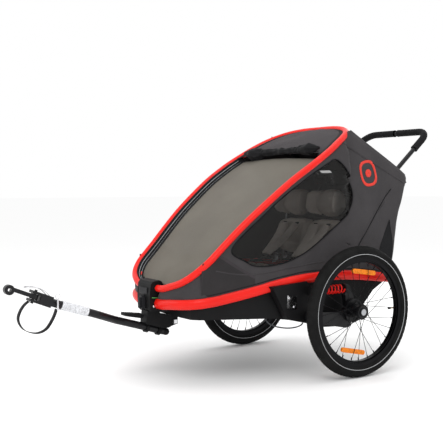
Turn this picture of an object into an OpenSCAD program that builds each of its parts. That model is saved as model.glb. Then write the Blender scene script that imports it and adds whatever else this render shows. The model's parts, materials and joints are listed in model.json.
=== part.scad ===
// Two-seat child trailer for towing behind a bicycle.
// +X is the trailer's left, +Y its rear, +Z up. Millimetres.
// The wheels stand on Z = 0 and the origin is under the middle of the whole trailer.
// Points in the lists below are measured from the ground under the middle of the axle.

/* [Wheels] */
// Outer diameter of the tyre
wheel_d = 500; // [410:5:560]
// Width of the tyre
tyre_w = 47; // [38:1:54]
// Thickness of the tyre wall
tyre_wall = 3.5; // [2.5:0.5:5]
// Depth of the rim, from its outer edge to its inner face
rim_depth = 22; // [18:1:28]
// Width of the rim
rim_w = 27; // [22:1:34]
// Distance between the middles of the two tyres
track = 760; // [740:5:920]
// Spokes in each wheel
spoke_count = 28; // [20:4:36]
// Diameter of a spoke
spoke_d = 2; // [1.8:0.1:3]
// Diameter of the hub flanges
hub_flange_d = 58; // [48:1:70]
// Distance between the hub flanges
hub_flange_gap = 28; // [24:1:36]
// Diameter of the plug-in axle
axle_d = 12; // [10:0.5:15]
// Diameter of the cap on the outside of the hub
hub_cap_d = 53; // [46:1:60]
// Diameter of the axle's release button
button_d = 24; // [18:1:28]

/* [Lower frame] */
// Height of the oval frame tube
rail_h = 37; // [28:1:44]
// Width of the oval frame tube
rail_w = 24; // [18:0.2:29]
// Length of the frame behind the axle
rail_rear = 228; // [210:2:260]
// Half the width of the front connector
connector_half = 50; // [44:1:60]

/* [Hoop] */
// Diameter of the hoop tube
hoop_d = 25; // [20:1:30]
// Diameter of the trunnions that the hoop turns on
trunnion_d = 18; // [14:1:20]
// Diameter of the two roof struts
strut_d = 18; // [14:1:22]

/* [Handlebar] */
// Half the distance between the middles of the handlebar arms
handle_half = 193; // [170:1:200]
// Length of the arms, from the hinge to the cross bar
handle_reach = 312; // [260:2:340]
// Angle of the arms above level
handle_angle = 41; // [30:1:50]
// Diameter of the handlebar tube
handle_d = 19; // [16:1:22]
// Diameter of the foam grips
grip_d = 30; // [26:1:34]
// Radius of the handlebar's corners
handle_corner = 60; // [45:1:75]
// Diameter of the handlebar hinges
hinge_d = 56; // [46:1:60]

/* [Body shell] */
// Thickness of the moulded floor tub
tub_wall = 3; // [2:0.5:4]
// Thickness of the fabric panels
fabric_t = 3; // [2:0.5:4]
// Thickness of the seat cushion
seat_t = 40; // [30:1:44]
// Thickness of a back rest pad
back_pad_t = 40; // [30:1:46]
// Length of the back rest frame
back_len = 286; // [270:2:300]
// Diameter of the back rest frame tube
back_d = 16; // [12:1:18]

/* [Suspension] */
// Outer diameter of the coil springs
spring_d = 36; // [30:1:38]
// Diameter of the spring wire
wire_d = 6; // [4:0.5:7]
// Turns of each spring
spring_turns = 7; // [5:1:8]
// Diameter of the brake drum
drum_d = 90; // [80:1:100]

/* [Drawbar] */
// Diameter of the drawbar tube
bar_d = 28; // [24:1:30]
// Sideways offset of the drawbar's front end
bar_offset = 50; // [20:2:70]
// Diameter of the hole in the coupling eye
eye_bore = 12.4; // [10:0.2:16]
// Diameter of the coupling eye
eye_d = 34; // [30:1:40]

/* [Fits] */
// Radial clearance of a shaft that turns or slides in a bore
running_gap = 0.05; // [0.02:0.01:0.1]
// Gap between neighbours that move past each other
body_gap = 0.4; // [0.3:0.1:1]
// Gap between the tub and the frame tube
tub_gap = 1; // [0.6:0.2:4]

/* [Hidden] */
$fn = 48;

// ---- overall places ----
wheel_r = wheel_d / 2;
wheel_x = track / 2;
tyre_r = tyre_w / 2;
rim_r = wheel_r - 2 * tyre_r + 6;
reflector_r = rim_r - 58;
hub_half = hub_flange_gap / 2 + 4;
hinge_y = 335;
hinge_z = 757;
hinge_r = hinge_d / 2;
nose_y = -690;
hoop_z = 352;
nose_rail_z = 295;
eye_y = -1243;
eye_z = 385;
front_reach = -eye_y + eye_d / 2;
rear_reach = hinge_y + handle_reach * cos(handle_angle) + grip_d / 2;
axle_y = (front_reach - rear_reach) / 2;

// Left half of the hoop's centre line, from the nose to the top middle
hoop_points = [
    [56.2, nose_y, hoop_z], [72, nose_y, hoop_z + 0.5], [97, -688, 355], [130, -681, 364],
    [174, -665, 379], [207, -643, 401],
    [228, -615, 428], [239, -580, 459], [245, -542, 496], [260, -466, 571], [276, -389, 640],
    [293, -266, 738], [300, -178, 796], [298, -128, 827], [290, -72, 860], [276, -25, 888],
    [257, 22, 914], [225, 66, 936], [170, 96, 952], [90, 112, 960], [0, 117, 961]
];
// Left half of the lower frame's centre line, from the connector to the rear end
rail_points = [
    [connector_half + 0.2, nose_y, nose_rail_z], [connector_half + 16, nose_y, nose_rail_z],
    [92, -689, 296], [130, -681, 300], [174, -665, 303],
    [207, -643, 306], [228, -615, 309], [239, -580, 313], [245, -542, 318], [260, -466, 332],
    [276, -389, 348], [290, -308, 366], [298, -200, 380], [300, -60, 384], [300, 76, 376],
    [300, rail_rear, 358]
];
rail_end = rail_points[len(rail_points) - 1];
hoop_half = smooth(hoop_points, 3);
hoop_path = concat([for (i = [len(hoop_half) - 1 : -1 : 1]) hoop_half[i]], [hoop_half[0]]);
rail_path = smooth(rail_points, 2);

// Side outline of the tub: its bottom and its rim, front to back
tub_bottom = [
    [-684, 268], [-640, 250], [-330, 238], [-180, 215], [-95, 186], [20, 180], [60, 205],
    [110, 260], [160, 312], [226, 348]
];
tub_rim = [
    [-684, 294], [-560, 313], [-466, 328], [-389, 344], [-308, 362], [-200, 376], [-60, 380],
    [76, 372], [226, 354]
];
// Outline of the side window, in the side view
window_points = [
    [-444, 455], [-496, 498], [-400, 594], [-288, 688], [-171, 766], [-90, 812], [-49, 826],
    [2, 787], [38, 735], [49, 690], [39, 648], [4, 606], [-72, 550], [-169, 488], [-231, 460],
    [-287, 442], [-356, 433], [-410, 437]
];
// Rear edge of the body, from the top down
rear_edge = [[345, 718], [324, 663], [302, 620], [286, 577], [270, 504], [256, 440], [236, 384]];

// ---- handlebar hinges ----
hub_w = 42;
hub_in = handle_half + 28;
hub_out = hub_in + 34;

// ---- back rest ----
back_x = 214;
back_y = 95;
back_z = line_z([for (p = rail_points) [p[1], p[2]]], back_y) + 41;
back_lean = 6;
headrest_low = 178;
buckle_x = 102;
// Side outlines of the back rest's hinge blocks and of their feet, measured from the pivot
hinge_outline = [[-10, -24], [9, -24], [9, 4], [4, 11], [-4, 11], [-10, 4]];
hinge_foot = [[-10, -34], [9, -34], [9, -17], [-10, -17]];

// ---- suspension ----
pivot_y = -196;
pivot_z = 238;
arm_x = 318;
arm_t = 22;
spring_x = 333;
spring_front = -160;
spring_rear = -40;
spring_z = 336;

// ---- drawbar ----
bar_slope = 16.8;
bar_rear = [0, -640, 182];
bar_dir = [0, -cos(bar_slope), sin(bar_slope)];
bar_points = [
    bar_rear, [0, -735, 210.7], [0, -805, 231.8], [bar_offset * 0.16, -842, 243.5],
    [bar_offset * 0.55, -880, 257.5], [bar_offset * 0.9, -915, 270.5], [bar_offset, -950, 282.8],
    [bar_offset, -1060, 319], [bar_offset, -1098.5, 332.5]
];
// The bent part is a little thinner than the straight part that it grows out of
bend_d = bar_d - 0.4;
block_y = -1086;
block_z = 329;
hitch_slope = 22;
block_rear = block_y - 14;
block_up = block_z + 4;
knuckle_reach = 62;
knuckle = [
    bar_offset, block_rear - knuckle_reach * cos(hitch_slope), block_up + knuckle_reach * sin(hitch_slope)
];
strap_w = 25;
strap_t = 2.2;
strap_points = [
    [bar_offset, -1176, 342], [bar_offset, -1192, 330], [bar_offset, -1207, 308],
    [bar_offset, -1213, 282], [bar_offset, -1200, 254], [bar_offset, -1176, 238],
    [bar_offset, -1145, 232], [bar_offset, -1117, 242], [bar_offset, -1099, 264],
    [bar_offset, -1086, 288], [bar_offset, -1079, 308]
];
cable_d = 5;
cable_points = [
    [262, -352, 238.6], [263, -351, 231], [268, -342, 220], [276, -324, 210], [284, -302, 204],
    [290, -276, 200], [292, -250, 199], [293, -228, 201], [294, -212, 206], [295, -204, 213.8]
];

// ---- curves, sweeps and shells ----
function unit(v) = v / norm(v);

function mix(a, b, t) = a + (b - a) * t;

// A point at share t of the step after point i, on a smooth curve through all the points
function curve_at(p, i, t) =
    let (
        a = p[max(i - 1, 0)],
        b = p[i],
        c = p[i + 1],
        d = p[min(i + 2, len(p) - 1)]
    )
    0.5 * (2 * b + (c - a) * t + (2 * a - 5 * b + 4 * c - d) * t * t + (3 * b - a - 3 * c + d) * t * t * t);

function smooth(p, steps) = concat(
    [for (i = [0 : len(p) - 2]) for (s = [0 : steps - 1]) curve_at(p, i, s / steps)],
    [p[len(p) - 1]]
);

// Height of a side-view line at a place along Y
function line_z(p, y, i = 0) =
    i >= len(p) - 2 || y <= p[i + 1][0]
        ? mix(p[i][1], p[i + 1][1], (y - p[i][0]) / (p[i + 1][0] - p[i][0]))
        : line_z(p, y, i + 1);

function heading(path, i) = unit(path[min(i + 1, len(path) - 1)] - path[max(i - 1, 0)]);

// Ring of points round a path: w wide across it, h high towards up
function ring(path, i, w, h, up, sides) =
    let (
        t = heading(path, i),
        s = unit(cross(t, up)),
        v = cross(s, t)
    )
    [for (k = [0 : sides - 1]) path[i] + s * w / 2 * cos(360 * k / sides) + v * h / 2 * sin(360 * k / sides)];

// Side faces between rings of n points; reversed ones look inward
function band_faces(rings, n, start, inward) = [
    for (i = [0 : rings - 2]) for (k = [0 : n - 1])
        let (
            a = start + i * n + k,
            b = start + i * n + (k + 1) % n,
            c = b + n,
            d = a + n
        )
        each (inward ? [[a, c, b], [a, d, c]] : [[a, b, c], [a, c, d]])
];

// Solid bar along a path
module sweep(path, w, h, up, sides = 16) {
    n = len(path);
    points = [for (i = [0 : n - 1]) each ring(path, i, w, h, up, sides)];
    polyhedron(points, concat(
        [[for (k = [sides - 1 : -1 : 0]) k]],
        [[for (k = [0 : sides - 1]) (n - 1) * sides + k]],
        band_faces(n, sides, 0, false)
    ));
}

// Hollow sleeve along a path
module sleeve(path, d_out, d_in, up, sides = 16) {
    n = len(path);
    inner = n * sides;
    points = concat(
        [for (i = [0 : n - 1]) each ring(path, i, d_out, d_out, up, sides)],
        [for (i = [0 : n - 1]) each ring(path, i, d_in, d_in, up, sides)]
    );
    last = (n - 1) * sides;
    caps = [
        for (k = [0 : sides - 1])
            let (m = (k + 1) % sides)
            each [
                [k, inner + k, inner + m], [k, inner + m, m],
                [last + k, last + inner + m, last + inner + k], [last + k, last + m, last + inner + m]
            ]
    ];
    polyhedron(points, concat(band_faces(n, sides, 0, false), band_faces(n, sides, inner, true), caps));
}

// Thin wall between two grids of points; the outer grid faces cross(row step, column step)
module shell(outer, inner) {
    n = len(outer);
    m = len(outer[0]);
    skip = n * m;
    points = concat([for (r = outer) each r], [for (r = inner) each r]);
    skins = [
        for (i = [0 : n - 2]) for (j = [0 : m - 2])
            let (a = i * m + j, b = a + 1, c = a + m + 1, d = a + m)
            each [[a, b, c], [a, c, d], [a + skip, c + skip, b + skip], [a + skip, d + skip, c + skip]]
    ];
    edges = concat(
        [for (i = [0 : n - 2]) let (a = i * m, b = a + m) each [[a, b, b + skip], [a, b + skip, a + skip]]],
        [
            for (i = [0 : n - 2])
                let (a = i * m + m - 1, b = a + m)
                each [[a, b + skip, b], [a, a + skip, b + skip]]
        ],
        [for (j = [0 : m - 2]) let (a = j, b = j + 1) each [[a, b + skip, b], [a, a + skip, b + skip]]],
        [
            for (j = [0 : m - 2])
                let (a = (n - 1) * m + j, b = a + 1)
                each [[a, b, b + skip], [a, b + skip, a + skip]]
        ]
    );
    polyhedron(points, concat(skins, edges));
}

// Everything is drawn from the axle and moved to the trailer's own origin
module placed() {
    translate([0, axle_y, 0]) children();
}

module both_sides() {
    children();
    mirror([1, 0, 0]) children();
}

// Plate with a side-view outline, from x0 to x1
module side_plate(outline, x0, x1) {
    translate([x0, 0, 0]) rotate([90, 0, 90]) linear_extrude(x1 - x0) polygon(outline);
}

// Round bar along X
module cross_rod(y, z, d, x0, x1) {
    translate([x0, y, z]) rotate([0, 90, 0]) cylinder(d = d, h = x1 - x0);
}

// Round bar from one point to another
module rod(a, b, d) {
    v = b - a;
    translate(a)
        rotate([0, acos(v[2] / norm(v)), atan2(v[1], v[0])])
            cylinder(d = d, h = norm(v));
}

// ---- lower frame ----
module lower_frame() {
    color("firebrick") placed() both_sides()
        sweep(rail_path, rail_w, rail_h, [0, 0, 1]);
}

module front_connector() {
    outline = [
        [-716, 366], [-708, 376], [-680, 380], [-668, 374], [-664, 340], [-664, 272], [-672, 266],
        [-712, 266], [-718, 274], [-720, 330]
    ];
    color("dimgray") placed() difference() {
        side_plate(outline, -connector_half, connector_half);
        for (side = [-1, 1])
            cross_rod(nose_y, hoop_z, trunnion_d + 2 * running_gap,
                side < 0 ? -connector_half - 1 : connector_half - 30,
                side < 0 ? -connector_half + 30 : connector_half + 1);
    }
}

module drawbar_bracket() {
    outline = [
        [-716, 265.9], [-664.2, 265.9], [-664.2, 252], [-640, 247], [-588, 236], [-588, 208], [-612, 202],
        [-626, 196], [-650, 196], [-722, 218]
    ];
    color("#2a2a2c") placed() difference() {
        union() {
            side_plate(outline, -24, 24);
            for (reach = [14, 66])
                rod(bar_rear + bar_dir * reach, bar_rear + bar_dir * (reach + 12), bar_d + 11);
        }
        rod(bar_rear - bar_dir * 60, bar_rear + bar_dir * 160, bar_d + 2 * running_gap);
        cross_rod(-602, 218, 10, -25, 25);
    }
}

module clamp_bolt() {
    color("silver") placed() {
        cross_rod(-602, 218, 10, -28, 24);
        translate([24, -609, 211]) cube([9, 14, 14]);
        cross_rod(-602, 218, 16, -34, -24.1);
    }
}

// Plan of the tub: the lower frame's line moved in by half its tube, a gap and the inset
function plan_side(inset) = [
    for (i = [5 : len(rail_points) - 1])
        let (
            t = heading(rail_points, i),
            n = unit([t[1], -t[0]]),
            p = rail_points[i]
        )
        [p[0], p[1]] - n * (rail_w / 2 + tub_gap + inset) - [0, i == len(rail_points) - 1 ? inset : 0]
];

function plan_ring(inset) = let (half = plan_side(inset)) concat(
    [[half[0][0] - 66, half[0][1] - 6 + inset]],
    half,
    [for (i = [len(half) - 1 : -1 : 0]) [-half[i][0], half[i][1]]],
    [[66 - half[0][0], half[0][1] - 6 + inset]]
);

module floor_tub() {
    rim = [for (i = [len(tub_rim) - 1 : -1 : 0]) tub_rim[i]];
    color("#1c1c1e") placed() difference() {
        intersection() {
            side_plate(concat(tub_bottom, rim), -300, 300);
            linear_extrude(500) polygon(plan_ring(0));
        }
        intersection() {
            side_plate(concat(
                [for (p = tub_bottom) [p[0], p[1] + tub_wall]],
                [for (p = rim) [p[0], p[1] + 80]]
            ), -300, 300);
            linear_extrude(600) polygon(plan_ring(tub_wall));
        }
    }
}

module seat_bars() {
    color("silver") placed() for (y = [-240, 20]) {
        half = line_z([for (p = rail_points) [p[1], p[0]]], y) - rail_w / 2 - tub_gap - tub_wall - 1.4;
        cross_rod(y, 322, 18, -half, half);
    }
}

module rail_caps() {
    color("indianred") placed() both_sides()
        translate(rail_end + [0, 0.3, 0]) rotate([-96.7, 0, 0]) linear_extrude(8)
            hull() {
                translate([0, rail_h / 2 - rail_w / 2]) circle(d = rail_w);
                translate([0, rail_w / 2 - rail_h / 2]) circle(d = rail_w);
            }
}

// ---- suspension ----
module suspension_brackets() {
    outline = [[-362, 360], [-204, 372], [-186, 352], [-178, 300], [-176, 224], [-200, 214], [-292, 236]];
    color("#202022") placed() both_sides() difference() {
        union() {
            side_plate(outline, 287, arm_x - body_gap);
            side_plate([
                [-200, 320], [-168, 320], [-160, 328], [-160, 346], [-170, 352], [-200, 352]
            ], 300, 346);
        }
        sweep(rail_path, rail_w + 0.2, rail_h + 0.2, [0, 0, 1]);
        cross_rod(pivot_y, pivot_z, 10, 280, 330);
    }
}

module bracket_plates() {
    color("silver") placed() both_sides() {
        side_plate([[-297, 278], [-255, 272], [-255, 320], [-297, 326]], arm_x, arm_x + 3);
        for (p = [[-287, 316], [-265, 282]])
            cross_rod(p[0], p[1], 8, arm_x + 3, arm_x + 6);
    }
}

module pivot_bolts() {
    color("silver") placed() both_sides() {
        cross_rod(pivot_y, pivot_z, 10, 288, arm_x + arm_t + 1);
        cross_rod(pivot_y, pivot_z, 18, arm_x + arm_t + 1, arm_x + arm_t + 6);
    }
}

module swing_arm() {
    color("#2a2a2c") difference() {
        union() {
            hull() {
                cross_rod(pivot_y, pivot_z, 40, arm_x, arm_x + arm_t);
                cross_rod(-30, 215, 60, arm_x, arm_x + arm_t);
            }
            hull() {
                cross_rod(-30, 215, 60, arm_x, arm_x + arm_t);
                cross_rod(0, wheel_r, 50, arm_x, arm_x + arm_t);
            }
            hull() {
                cross_rod(0, wheel_r, 50, arm_x, arm_x + arm_t);
                cross_rod(spring_rear + 16, spring_z, 30, arm_x, arm_x + arm_t);
            }
            translate([spring_x, spring_rear, spring_z]) rotate([-90, 0, 0]) cylinder(d = spring_d, h = 8);
        }
        cross_rod(pivot_y, pivot_z, 10 + 2 * running_gap, arm_x - 1, arm_x + arm_t + 1);
    }
    color("darkgray") difference() {
        cross_rod(0, wheel_r, drum_d, arm_x + arm_t, arm_x + arm_t + 12);
        cross_rod(0, wheel_r, drum_d - 12, arm_x + arm_t + 8, arm_x + arm_t + 13);
    }
    color("silver") cross_rod(0, wheel_r, axle_d, arm_x + arm_t, wheel_x + hub_half - 4);
}

module swing_arm_left() {
    placed() swing_arm();
}

module swing_arm_right() {
    placed() mirror([1, 0, 0]) swing_arm();
}

module spring() {
    turn = [for (i = [0 : 10 * spring_turns]) i / 10];
    length = spring_rear - spring_front - wire_d - 2;
    radius = (spring_d - wire_d) / 2;
    path = [
        for (t = turn)
            [
                spring_x + radius * cos(360 * t),
                spring_front + wire_d / 2 + 1 + length * t / spring_turns,
                spring_z + radius * sin(360 * t)
            ]
    ];
    color("firebrick") sweep(path, wire_d, wire_d, [0, 1, 0], 8);
}

module spring_left() {
    placed() spring();
}

module spring_right() {
    placed() mirror([1, 0, 0]) spring();
}

// ---- wheels ----
module tyre() {
    color("#1b1b1b") rotate([0, 90, 0]) rotate_extrude($fn = 96) difference() {
        translate([wheel_r - tyre_r, 0]) circle(r = tyre_r);
        translate([wheel_r - tyre_r, 0]) circle(r = tyre_r - tyre_wall);
        translate([rim_r - 40 + 0.2, -rim_w / 2]) square([40, rim_w]);
    }
}

module rim() {
    t = 2.5;
    color("#242426") rotate([0, 90, 0]) rotate_extrude($fn = 96) difference() {
        translate([rim_r - rim_depth, -rim_w / 2]) square([rim_depth, rim_w]);
        translate([rim_r - 8, -rim_w / 2 + t]) square([9, rim_w - 2 * t]);
        translate([rim_r - rim_depth - 1, -rim_w / 2 - 1]) square([7, 6]);
        translate([rim_r - rim_depth - 1, rim_w / 2 - 5]) square([7, 6]);
    }
}

module hub() {
    color("#242426") rotate([0, 90, 0]) difference() {
        union() {
            translate([0, 0, -hub_half]) cylinder(d = hub_flange_d, h = 4);
            translate([0, 0, hub_half - 4]) cylinder(d = hub_flange_d, h = 4);
            translate([0, 0, -hub_half]) cylinder(d = 34, h = 2 * hub_half);
            translate([0, 0, hub_half]) cylinder(d = hub_cap_d, h = 4);
            translate([0, 0, hub_half + 4]) cylinder(d = button_d + 8, h = 3);
        }
        translate([0, 0, -hub_half - 1]) cylinder(d = axle_d + 2 * running_gap, h = 2 * hub_half - 2);
        translate([0, 0, hub_half - 1]) cylinder(d = button_d + 2 * running_gap, h = 10);
    }
}

module axle_button() {
    color("gray") rotate([0, 90, 0]) union() {
        translate([0, 0, hub_half + 2.5]) cylinder(d = button_d, h = 5.5);
        translate([0, 0, hub_half + 8]) cylinder(d1 = button_d, d2 = button_d - 3, h = 1, $fn = 48);
    }
}

// Tangent spokes, half to each flange
module spokes() {
    hub_r = hub_flange_d / 2 - 4;
    rim_in = rim_r - rim_depth + 1;
    color("#3a3a3c") for (i = [0 : spoke_count - 1]) {
        side = i % 2 == 0 ? 1 : -1;
        lean = (floor(i / 2) % 2 == 0 ? 1 : -1) * 68;
        a = 360 * i / spoke_count;
        rod(
            [side * (hub_half - 2 - (lean > 0 ? 4 : -4)), hub_r * cos(a + lean), hub_r * sin(a + lean)],
            [side * 3, rim_in * cos(a), rim_in * sin(a)],
            spoke_d
        );
    }
}

// Amber reflectors clipped across the spokes
module reflectors(angles) {
    color("orange") for (a = angles)
        rotate([a, 0, 0]) translate([-4, reflector_r, 0]) hull()
            for (z = [-1, 1]) translate([0, 0, z * 50]) rotate([0, 90, 0]) cylinder(r = 9, h = 8, $fn = 32);
}

module at_wheel(side) {
    placed() translate([side * wheel_x, 0, wheel_r]) mirror([side < 0 ? 1 : 0, 0, 0]) children();
}

module tyre_left() { at_wheel(1) tyre(); }
module tyre_right() { at_wheel(-1) tyre(); }
module rim_left() { at_wheel(1) rim(); }
module rim_right() { at_wheel(-1) rim(); }
module hub_left() { at_wheel(1) hub(); }
module hub_right() { at_wheel(-1) hub(); }
module spokes_left() { at_wheel(1) spokes(); }
module spokes_right() { at_wheel(-1) spokes(); }
module reflectors_left() { at_wheel(1) reflectors([82, 258]); }
module reflectors_right() { at_wheel(-1) reflectors([-8, 170]); }
module axle_button_left() { at_wheel(1) axle_button(); }
module axle_button_right() { at_wheel(-1) axle_button(); }

// ---- brake cable ----
module brake_cable() {
    color("black") placed() sweep(smooth(cable_points, 2), cable_d, cable_d, [1, 0, 0], 8);
}

// ---- hoop and roof ----
module hoop_tube() {
    color("firebrick") placed() both_sides()
        sweep(hoop_half, hoop_d, hoop_d, [0, -0.6, 0.8]);
}

// Trunnions in the nose, and the bolts of the handlebar hinges
module hinge_pins() {
    color("silver") placed() both_sides() {
        cross_rod(nose_y, hoop_z, trunnion_d, connector_half - 28, 56);
        cross_rod(hinge_y, hinge_z, 10, hub_in - hub_w - 4, hub_out - 10);
    }
}

module roof_struts() {
    color("#2a2a2c") placed() both_sides() difference() {
        rod([232, 60, 930], [244, hinge_y, hinge_z], strut_d);
        sweep(hoop_half, hoop_d + 0.1, hoop_d + 0.1, [0, -0.6, 0.8]);
        cross_rod(hinge_y, hinge_z, hinge_d + 0.1, hub_in - 10, hub_out + 10);
    }
}

module hinge_hubs() {
    color("#3a3a3c") placed() both_sides() difference() {
        cross_rod(hinge_y, hinge_z, hinge_d, hub_in + body_gap, hub_out);
        cross_rod(hinge_y, hinge_z, 10, hub_in - 1, hub_out - 10);
        cross_rod(hinge_y, hinge_z, button_d + 2 * running_gap, hub_out - 10, hub_out + 1);
    }
}

// Place on the hoop, moved in from the tube by the fabric's margin
function inside_hoop(i) =
    let (
        p = hoop_points[i],
        t = heading(hoop_points, i),
        inset = (hoop_d / 2 + 5.5) / norm([t[1], t[2]])
    )
    [p[0] - inset, p[1], p[2] + 4];

// Fabric stretched across the hoop from point first to point last
module hoop_sheet(first, last) {
    t = fabric_t;
    outer = [
        for (i = [first : last])
            let (p = inside_hoop(i))
            [p, [0, p[1] - 2, p[2] + 2], [-p[0], p[1], p[2]]]
    ];
    shell(outer, [for (r = outer) [for (p = r) p + [0, 0.65 * t, -0.75 * t]]]);
}

module front_screen() {
    color("#77716a") placed() hoop_sheet(4, 13);
}

module visor() {
    color("#5d5764") placed() hoop_sheet(14, 17);
}

// Space under the rolled cover, down to the screen
module roll_bed() {
    side_plate([[-140, 836], [-20, 908], [-20, 780], [-140, 780]], -300, 300);
}

module rolled_cover() {
    color("#222224") placed() difference() {
        hull() {
            translate([-248, -84, 872]) sphere(d = 30, $fn = 24);
            translate([248, -84, 872]) sphere(d = 30, $fn = 24);
            translate([-150, -84, 873]) sphere(d = 38, $fn = 24);
            translate([180, -84, 873]) sphere(d = 38, $fn = 24);
        }
        roll_bed();
    }
}

module roof_panel() {
    front = [for (i = [17 : 20]) hoop_points[i]];
    across = concat(front, [for (i = [2 : -1 : 0]) [-front[i][0], front[i][1], front[i][2]]]);
    top = [for (p = across) p + [0, hoop_d / 2 + 7, 4]];
    rear = [for (p = across) [p[0], hinge_y + 2 - abs(p[0]) / 30, hinge_z + hinge_r + 4]];
    outer = [for (s = [0 : 0.25 : 1]) [for (j = [0 : len(top) - 1]) mix(top[j], rear[j], s)]];
    color("#4a484c") placed()
        shell(outer, [for (r = outer) [for (p = r) p - [0, fabric_t * 0.7, fabric_t * 0.7]]]);
}

// ---- side panels ----
side_foot = [
    [228, -615, 309], [245, -542, 318], [260, -466, 332], [276, -389, 348], [290, -308, 366],
    [298, -200, 380], [300, -100, 383.5], [300, -20, 384], [300, 60, 377.5], [300, 120, 371.5],
    [300, 180, 364.5], [300, 222, 359]
];
side_head = [
    [239, -580, 459], [253, -504, 533], [268, -428, 607], [282, -349, 675], [293, -266, 738],
    [300, -178, 796], [290, -72, 860], [276, -25, 888], [257, 22, 914], [244, 90, 905],
    [246, 190, 840], [248, 300, 742]
];

module side_wall() {
    outer = [
        for (i = [0 : len(side_foot) - 1])
            let (
                low = side_foot[i] + [0, 0, rail_h / 2 + 1.5],
                high = side_head[i] - unit(side_head[i] - low) * (hoop_d / 2 + 12)
            )
            [low, mix(low, high, 0.5) + [4, 0, 0], high]
    ];
    shell(outer, [for (r = outer) [for (p = r) p - [fabric_t, 0, 0]]]);
}

module side_panel() {
    color("#454347") difference() {
        side_wall();
        side_plate(window_points, 200, 340);
    }
}

module side_window() {
    color("#35353a", 0.5) intersection() {
        side_wall();
        side_plate(window_points, 200, 340);
    }
}

module side_panel_left() { placed() side_panel(); }
module side_panel_right() { placed() mirror([1, 0, 0]) side_panel(); }
module side_window_left() { placed() side_window(); }
module side_window_right() { placed() mirror([1, 0, 0]) side_window(); }

module rear_panel() {
    t = fabric_t;
    outline = concat(rear_edge, [for (i = [len(rear_edge) - 1 : -1 : 0]) rear_edge[i] - [t, 0]]);
    color("#454347") placed() side_plate(outline, -244, 244);
}

// ---- seat ----
module seat_cushion() {
    low = 331.5;
    top = low + seat_t;
    outline = [
        [-296, low + 10], [-302, top - 6], [-298, top + 16], [-280, top + 27], [-250, top + 28],
        [-150, top + 16], [30, top], [46, top - 12], [46, low], [-286, low]
    ];
    color("#5f5a55") placed() side_plate(outline, -258, 258);
}

module back_hinges() {
    color("silver") placed() both_sides() {
        difference() {
            union() {
                side_plate([for (p = hinge_outline) [back_y + p[0], back_z + p[1]]], 268, 286);
                side_plate([for (p = hinge_foot) [back_y + p[0], back_z + p[1]]], 268, 296);
            }
            sweep(rail_path, rail_w + 0.1, rail_h + 0.1, [0, 0, 1]);
            translate([260, back_y - 30, back_z - 60]) cube([26.5, 60, 36]);
            cross_rod(back_y, back_z, 8, 260, 300);
        }
        cross_rod(back_y, back_z, 8, back_x - 12, 285);
    }
}

// Puts a shape drawn along the back rest, with Z up it and -Y its front, in place
module on_back() {
    placed() translate([0, back_y, back_z]) rotate([-back_lean, 0, 0]) children();
}

module back_frame() {
    r = back_d / 2;
    color("silver") on_back() difference() {
        union() {
            both_sides() {
                translate([back_x, 0, 0]) cylinder(r = r, h = back_len);
                translate([back_x - r, 0, 0]) rotate([0, 90, 0]) cylinder(d = 22, h = 2 * r);
            }
            translate([-back_x, 0, back_len - r]) rotate([0, 90, 0]) cylinder(d = back_d - 2, h = 2 * back_x);
        }
        for (x = [-back_x, back_x])
            translate([x - 20, 0, 0]) rotate([0, 90, 0]) cylinder(d = 8 + 2 * running_gap, h = 40);
    }
}

module back_pads() {
    r = 14;
    color("#5f5a55") on_back() both_sides()
        translate([8, -back_d / 2 - 1, 14]) rotate([90, 0, 0]) linear_extrude(back_pad_t) hull()
            for (x = [r, 196 - r]) for (z = [r, headrest_low - 18 - r]) translate([x, z]) circle(r = r);
}

// Padded blocks with a wing at each side, above the back rest pads
module headrests() {
    low = headrest_low;
    wide = 142;
    wing = 24;
    color("#5f5a55") on_back() both_sides() translate([38, 0, low]) {
        outline = [
            [0, -back_d / 2 - 1], [wide, -back_d / 2 - 1], [wide, -110],
            [wide - wing, -118], [wide - wing - 14, -62],
            [wing + 14, -62], [wing, -118], [0, -110]
        ];
        linear_extrude(118) polygon(outline);
    }
}

// Two shoulder straps for each seat, from the back rest down to the buckle that lies on the cushion
module harness() {
    color("#26262a") placed() both_sides() for (x = [62, 142])
        sweep(smooth([
            [x, 54, 574], [x, 44, 560], [mix(x, buckle_x, 0.25), 14, 520], [mix(x, buckle_x, 0.6), -40, 468],
            [mix(x, buckle_x, 0.72), -92, 428], [mix(x, buckle_x, 0.72), -107, 421]
        ], 3), 25, 2, [0, -0.5, 0.8], 8);
}

module harness_buckles() {
    color("#303034") placed() both_sides()
        translate([buckle_x, -138, 404.5]) rotate([-8, 0, 0]) translate([-22, -26, 0]) cube([44, 50, 15]);
}

// ---- handlebar ----
// Point of the handlebar's plane: x across, s along the arms from the hinge
function bar_at(x, s) = [x, hinge_y + s * cos(handle_angle), hinge_z + s * sin(handle_angle)];

function handle_path(from) = concat(
    [for (s = [from : 40 : handle_reach - handle_corner - 1]) bar_at(handle_half, s)],
    [
        for (a = [0 : 15 : 90])
            bar_at(
                handle_half - handle_corner * (1 - cos(a)),
                handle_reach - handle_corner * (1 - sin(a))
            )
    ],
    [for (x = [handle_half - handle_corner - 40 : -40 : 8]) bar_at(x, handle_reach)]
);
plane_up = [0, -sin(handle_angle), cos(handle_angle)];

module handlebar_tube() {
    half = concat(handle_path(2), [bar_at(0, handle_reach)]);
    color("#2a2a2c") placed() both_sides() difference() {
        sweep(half, handle_d, handle_d, plane_up);
        cross_rod(hinge_y, hinge_z, hinge_d + 0.1, 100, 260);
    }
}

module handlebar_grips() {
    color("#26262a") placed() both_sides()
        sleeve(
            concat(handle_path(handle_reach - handle_corner - 60), [bar_at(10, handle_reach)]),
            grip_d, handle_d + 0.6, plane_up
        );
}

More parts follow.
